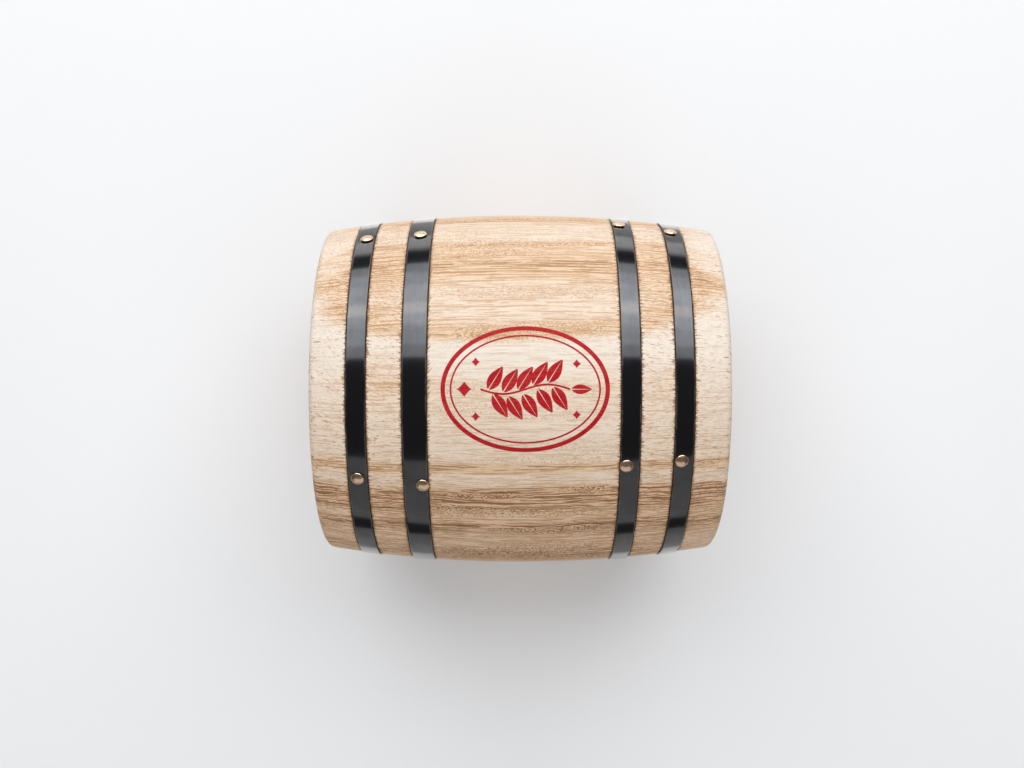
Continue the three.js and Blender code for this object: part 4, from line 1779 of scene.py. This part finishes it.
@dataclass
class Ornament:
    """A generic leaf sprig in a double oval, printed in red on the bilge.

    It is drawn with u along the barrel and v round it, towards -Y, both from its own middle. A diamond is
    given by its u, its v and its size.
    """

    shop: Workshop
    barrel: Barrel
    middle: float = 1.6
    oval: Point = (27.6, 20.8)
    oval_line: float = 1.5
    inner_oval: Point = (25.0, 18.2)
    inner_line: float = 0.6
    leaf_length: float = 9.6
    leaf_width: float = 4.4
    vein: float = 0.36
    leaf_lean: float = 58.0
    leaf_start: float = 0.04
    leaf_run: float = 0.92
    leaf_curve: float = 0.8
    leaf_least: float = 0.05
    leaf_steps: tuple[int, ...] = (2, 6, 10, 14, 18)
    upper_root: Point = (0.0, -0.5)
    lower_root: Point = (1.6, 0.7)
    tip_root: float = 0.3
    tip_leaf: float = 0.75
    stem_half: float = 15.0
    stem_sway: float = 1.6
    stem_line: float = 0.7
    stem_steps: int = 24
    diamonds: tuple[Triple, ...] = (
        (-20.4, 0.0, 2.6), (-16.6, -9.2, 1.5), (-16.6, 9.2, 1.5), (17.2, -8.6, 1.5), (17.2, 8.6, 1.5)
    )
    diamond_steps: int = 10
    diamond_curve: float = 1.5
    diamond_least: float = 0.04
    lift: float = 0.025
    sink: float = 0.05
    ink: RedInk = RedInk()
    vertices: list[Vector] = field(default_factory=list)
    faces: list[tuple[int, ...]] = field(default_factory=list)

    def _patch(self, rows: Sequence[Sequence[Point]], closed: bool = False) -> None:
        """Add a thin closed solid that follows the barrel's surface.

        Args:
            rows: A grid of (u, v) points.
            closed: Whether the last row joins the first.
        """
        start = len(self.vertices)
        wide = len(rows[0])
        layer = len(rows) * wide
        for height in (self.lift, -self.sink):
            for row in rows:
                for u, v in row:
                    radius = self.barrel.outside(self.middle + u)
                    place = self.shop.spot(self.middle + u, radius + height, v / self.barrel.bilge_radius)
                    self.vertices.append(place)
        steps = len(rows) if closed else len(rows) - 1
        for i in range(steps):
            first, after = start + i * wide, start + (i + 1) % len(rows) * wide
            for j in range(wide - 1):
                self.faces.append((first + j, first + j + 1, after + j + 1, after + j))
                low = (first + layer + j, after + layer + j, after + layer + j + 1, first + layer + j + 1)
                self.faces.append(low)
            for j in (0, wide - 1):
                self.faces.append((first + j, after + j, after + layer + j, first + layer + j))
        if not closed:
            for i in (0, len(rows) - 1):
                edge = start + i * wide
                for j in range(wide - 1):
                    self.faces.append((edge + j, edge + j + 1, edge + layer + j + 1, edge + layer + j))

    def _ring(self, size: Point, line: float, steps: int = 160) -> None:
        """Add an oval ring.

        Args:
            size: Half its length and half its height.
            line: The width of its line.
            steps: How many steps it has.
        """
        rows = []
        for step in range(steps):
            angle = math.tau * step / steps
            row = []
            for edge in (-0.5, 0.0, 0.5):
                grow = edge * line
                row.append(((size[0] + grow) * math.cos(angle), (size[1] + grow) * math.sin(angle)))
            rows.append(row)
        self._patch(rows, closed=True)

    def _leaf(self, root: Point, angle: float, size: float = 1.0, steps: int = 14) -> None:
        """Add a leaf as two halves with a bare vein between them.

        Args:
            root: Where it starts.
            angle: The direction it points in, from +u towards -v.
            size: Its size as a share of a whole leaf's.
            steps: How many steps it has along its length.
        """
        turn = math.radians(angle)
        along = (math.cos(turn), -math.sin(turn))
        aside = (math.sin(turn), math.cos(turn))
        for side in (-1, 1):
            rows = []
            for step in range(steps + 1):
                share = self.leaf_start + self.leaf_run * step / steps
                swell = math.sin(math.pi * share**self.leaf_curve) * self.leaf_width / 2 * size
                inner = self.vein / 2 * (1 - share)
                row = []
                for across in (0.0, 0.5, 1.0):
                    out = side * (inner + max(swell - inner, self.leaf_least) * across)
                    reach = self.leaf_length * size * share
                    place = [root[i] + along[i] * reach + aside[i] * out for i in (0, 1)]
                    row.append(tuple(place))
                rows.append(row)
            self._patch(rows)

    def _diamond(self, u: float, v: float, size: float) -> None:
        """Add a diamond with hollow sides."""
        rows = []
        for step in range(self.diamond_steps + 1):
            share = -1 + 2 * step / self.diamond_steps
            half = max(size * (1 - abs(share)) ** self.diamond_curve, self.diamond_least)
            rows.append([(u + share * size, v - half), (u + share * size, v), (u + share * size, v + half)])
        self._patch(rows)

    def build(self) -> None:
        """Print the ornament."""
        self._ring(self.oval, self.oval_line)
        self._ring(self.inner_oval, self.inner_line)
        stem = []
        for i in range(self.stem_steps + 1):
            share = i / self.stem_steps
            stem.append((self.stem_half * (2 * share - 1), self.stem_sway * math.sin(math.tau * share)))
        half = self.stem_line / 2
        self._patch([[(u, v - half), (u, v + half)] for u, v in stem])
        for i in self.leaf_steps:
            for root, lean in ((self.upper_root, self.leaf_lean), (self.lower_root, -self.leaf_lean)):
                self._leaf((stem[i][0] + root[0], stem[i][1] + root[1]), lean)
        self._leaf((stem[-1][0] + self.tip_root, stem[-1][1]), 0.0, self.tip_leaf)
        for diamond in self.diamonds:
            self._diamond(*diamond)
        print_piece = new_object("bilge_print", self.vertices, (), self.faces)
        print_piece.data.materials.append(self.shop.dressed(self.ink))
        print_piece.data.polygons.foreach_set("use_smooth", [False] * len(self.faces))
        face_outwards(print_piece)
        self.shop.hand_over(print_piece, "barrel", None)


class Role(Enum):
    """What a lamp is for."""

    LIGHT = "lights the wood and the floor"
    SHINE = "shows in the enamel and the copper"


@dataclass(frozen=True)
class Panel:
    """A soft light panel that faces the barrel.

    Its span is the angles at which it starts and ends, seen from the barrel, from overhead towards +Y. Its
    distance from the barrel's axis and its width along X are in metres. A radiance of 1 is as bright as white
    paper in full light.
    """

    name: str
    role: Role
    span: Point
    distance: float
    width: float
    radiance: float
    colour: Triple = (1.0, 1.0, 1.0)


@dataclass(frozen=True)
class Card:
    """A card along X that shows only in what the enamel and the copper reflect.

    Its two edges are given by Y and Z in metres. Its grey is the share of light that it throws back, and its
    glow is how brightly it shines itself.
    """

    name: str
    first: Point
    last: Point
    grey: float
    glow: float = 0.0


COOL: Triple = (0.90, 0.94, 1.0)
WARM: Triple = (1.0, 0.82, 0.66)
PANELS = (
    Panel("key_lamp", Role.LIGHT, (16.0, 82.0), 1.0, 1.6, 1.82),
    Panel("ceiling_lamp", Role.LIGHT, (-43.2, 43.2), 1.6, 3.0, 0.78),
    Panel("fill_lamp", Role.LIGHT, (-85.4, -38.6), 1.04, 1.6, 0.74),
    Panel("window_panel", Role.SHINE, (20.0, 90.0), 0.95, 1.6, 1.8, COOL),
    Panel("window_pane", Role.SHINE, (28.0, 80.0), 0.93, 1.5, 1.0, COOL),
    Panel("window_middle", Role.SHINE, (40.0, 70.0), 0.91, 1.4, 0.8, COOL),
    Panel("window_heart", Role.SHINE, (48.5, 56.5), 0.89, 1.2, 1.5, WARM),
    Panel("sill_panel", Role.SHINE, (90.5, 104.0), 0.2, 0.9, 0.8),
    Panel("room_panel", Role.SHINE, (-91.5, -46.0), 0.95, 1.6, 0.48),
)
CARDS = (
    Card("window_flag", (0.5, 0.001), (0.5, 0.11), 0.01),
    Card("fill_flag", (-0.32, 0.001), (-0.32, 0.065), 0.01),
    Card("bounce_strip", (0.068, 0.0006), (0.115, 0.0006), 0.9, 0.38),
    Card("far_card", (0.116, 0.0006), (0.9, 0.0006), 0.48),
    Card("near_card", (-0.9, 0.0006), (-0.128, 0.0006), 0.45),
)


@dataclass
class Studio:
    """The floor, the lamps and the camera. Sizes of the floor, the cards and the light are in metres."""

    picture_width: int = 1024
    focal_pixels: float = 1209.8
    sensor_width: float = 36.0
    height_over_axis: float = 470.0
    shift_x: float = -2.84
    shift_y: float = 1.75
    nearest: float = 0.01
    lit_height: float = 0.066
    card_half: float = 1.2
    floor_half: float = 2.5
    floor_level: float = -0.00021
    floor_fade: Point = (0.75, 1.3)
    floor_colour: Colour = (0.91, 0.925, 0.945, 1.0)
    backdrop: float = 0.86
    room: float = 0.02
    room_colour: Colour = (0.95, 0.97, 1.0, 1.0)

    def build_camera(self, axis_height: float) -> None:
        """Set the camera straight over the barrel.

        Args:
            axis_height: Height of the barrel's axis above the floor, in millimetres.
        """
        data = bpy.data.cameras.new("overhead")
        data.sensor_width = self.sensor_width
        data.lens = self.focal_pixels / self.picture_width * self.sensor_width
        data.clip_start = self.nearest
        camera = bpy.data.objects.new("overhead", data)
        camera.location = Vector((self.shift_x, self.shift_y, axis_height + self.height_over_axis)) * MM
        bpy.context.scene.collection.objects.link(camera)
        bpy.context.scene.camera = camera

    def _flat(
        self, name: str, corners: Sequence[Triple], **inputs: Any
    ) -> tuple[bpy.types.Object, bpy.types.NodeTree]:
        """Make a flat four-cornered piece with a material of its own.

        Args:
            name: The name of the piece and of its material.
            corners: The four corners in metres.
            **inputs: The surface's inputs, with underscores for the spaces in their names.

        Returns:
            The piece and its material's nodes.
        """
        piece = new_object(name, corners, (), [(0, 1, 2, 3)])
        material = bpy.data.materials.new(name)
        material.use_nodes = True
        surface = material.node_tree.nodes["Principled BSDF"]
        for socket, value in inputs.items():
            surface.inputs[socket.replace("_", " ")].default_value = value
        piece.data.materials.append(material)
        return piece, material.node_tree

    def build_floor(self) -> None:
        """Make the pale floor, which turns into the backdrop far from the barrel."""
        half, level = self.floor_half, self.floor_level
        corners = [(-half, -half, level), (half, -half, level), (half, half, level), (-half, half, level)]
        looks = {"Roughness": 0.9, "Specular_IOR_Level": 0.1, "Emission_Color": self.room_colour}
        floor, tree = self._flat("floor", corners, **looks)
        sheet = NodeSheet(tree)
        place = sheet.get("ShaderNodeTexCoord", output="Object")
        seen = sheet.get("ShaderNodeLightPath", output="Is Camera Ray")
        faded = sheet.vector("LENGTH", place).ease(*self.floor_fade) * seen
        surface = tree.nodes["Principled BSDF"]
        sheet.feed(surface.inputs["Base Color"], sheet.blend(faded, self.floor_colour, BLACK))
        sheet.feed(surface.inputs["Emission Strength"], faded * self.backdrop)

    def _hang(self, panel: Panel) -> None:
        """Hang a light panel."""
        low, high = (math.radians(angle) for angle in panel.span)
        data = bpy.data.lights.new(panel.name, "AREA")
        data.shape = "RECTANGLE"
        data.color = panel.colour
        data.size = panel.width
        data.size_y = 2 * panel.distance * math.tan((high - low) / 2)
        data.energy = panel.radiance * math.pi * data.size * data.size_y
        lamp = bpy.data.objects.new(panel.name, data)
        middle = (low + high) / 2
        away = Vector((0.0, math.sin(middle), math.cos(middle)))
        lamp.location = away * panel.distance + Vector((0.0, 0.0, self.lit_height))
        lamp.rotation_mode = "QUATERNION"
        lamp.rotation_quaternion = away.to_track_quat("Z", "Y")
        lamp.visible_glossy = panel.role is Role.SHINE
        lamp.visible_diffuse = panel.role is Role.LIGHT
        bpy.context.scene.collection.objects.link(lamp)

    def _set_up(self, card: Card) -> None:
        """Set up a card."""
        half = self.card_half
        corners = [(-half, *card.first), (half, *card.first), (half, *card.last), (-half, *card.last)]
        looks = {"Roughness": 1.0, "Emission_Color": WHITE, "Emission_Strength": card.glow}
        grey = (card.grey, card.grey, card.grey, 1.0)
        piece, _ = self._flat(card.name, corners, Base_Color=grey, **looks)
        piece.visible_camera = False
        piece.visible_diffuse = False
        piece.visible_shadow = False

    def build_light(self) -> None:
        """Hang the panels, set up the cards and make the dim room, whose walls look pale to the camera."""
        for panel in PANELS:
            self._hang(panel)
        for card in CARDS:
            self._set_up(card)
        world = bpy.data.worlds.new("room")
        bpy.context.scene.world = world
        world.use_nodes = True
        background = world.node_tree.nodes["Background"]
        background.inputs["Color"].default_value = self.room_colour
        sheet = NodeSheet(world.node_tree)
        seen = sheet.get("ShaderNodeLightPath", output="Is Camera Ray")
        sheet.feed(background.inputs["Strength"], sheet.lerp(seen, self.room, self.backdrop))
        bpy.context.scene.view_settings.view_transform = "Standard"


def main() -> None:
    """Build the canister's looks around its frame, then the studio."""
    logging.basicConfig(level=logging.INFO, format="%(name)s: %(message)s")
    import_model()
    low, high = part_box("barrel_shell")
    shop = Workshop(axis_height=(low.z + high.z) / 2 / MM)
    studio = Studio()
    studio.build_camera(shop.axis_height)
    barrel = Barrel(shop, length=(high.x - low.x) / MM)
    barrel.build()
    HoopSet(shop, barrel).build()
    TackSet(shop).build()
    TornFibres(shop, barrel).build()
    Ornament(shop, barrel).build()
    Lid(shop, barrel).build()
    studio.build_floor()
    studio.build_light()
    LOG.info("%d pieces made", len(shop.made))


if __name__ == "__main__":
    main()
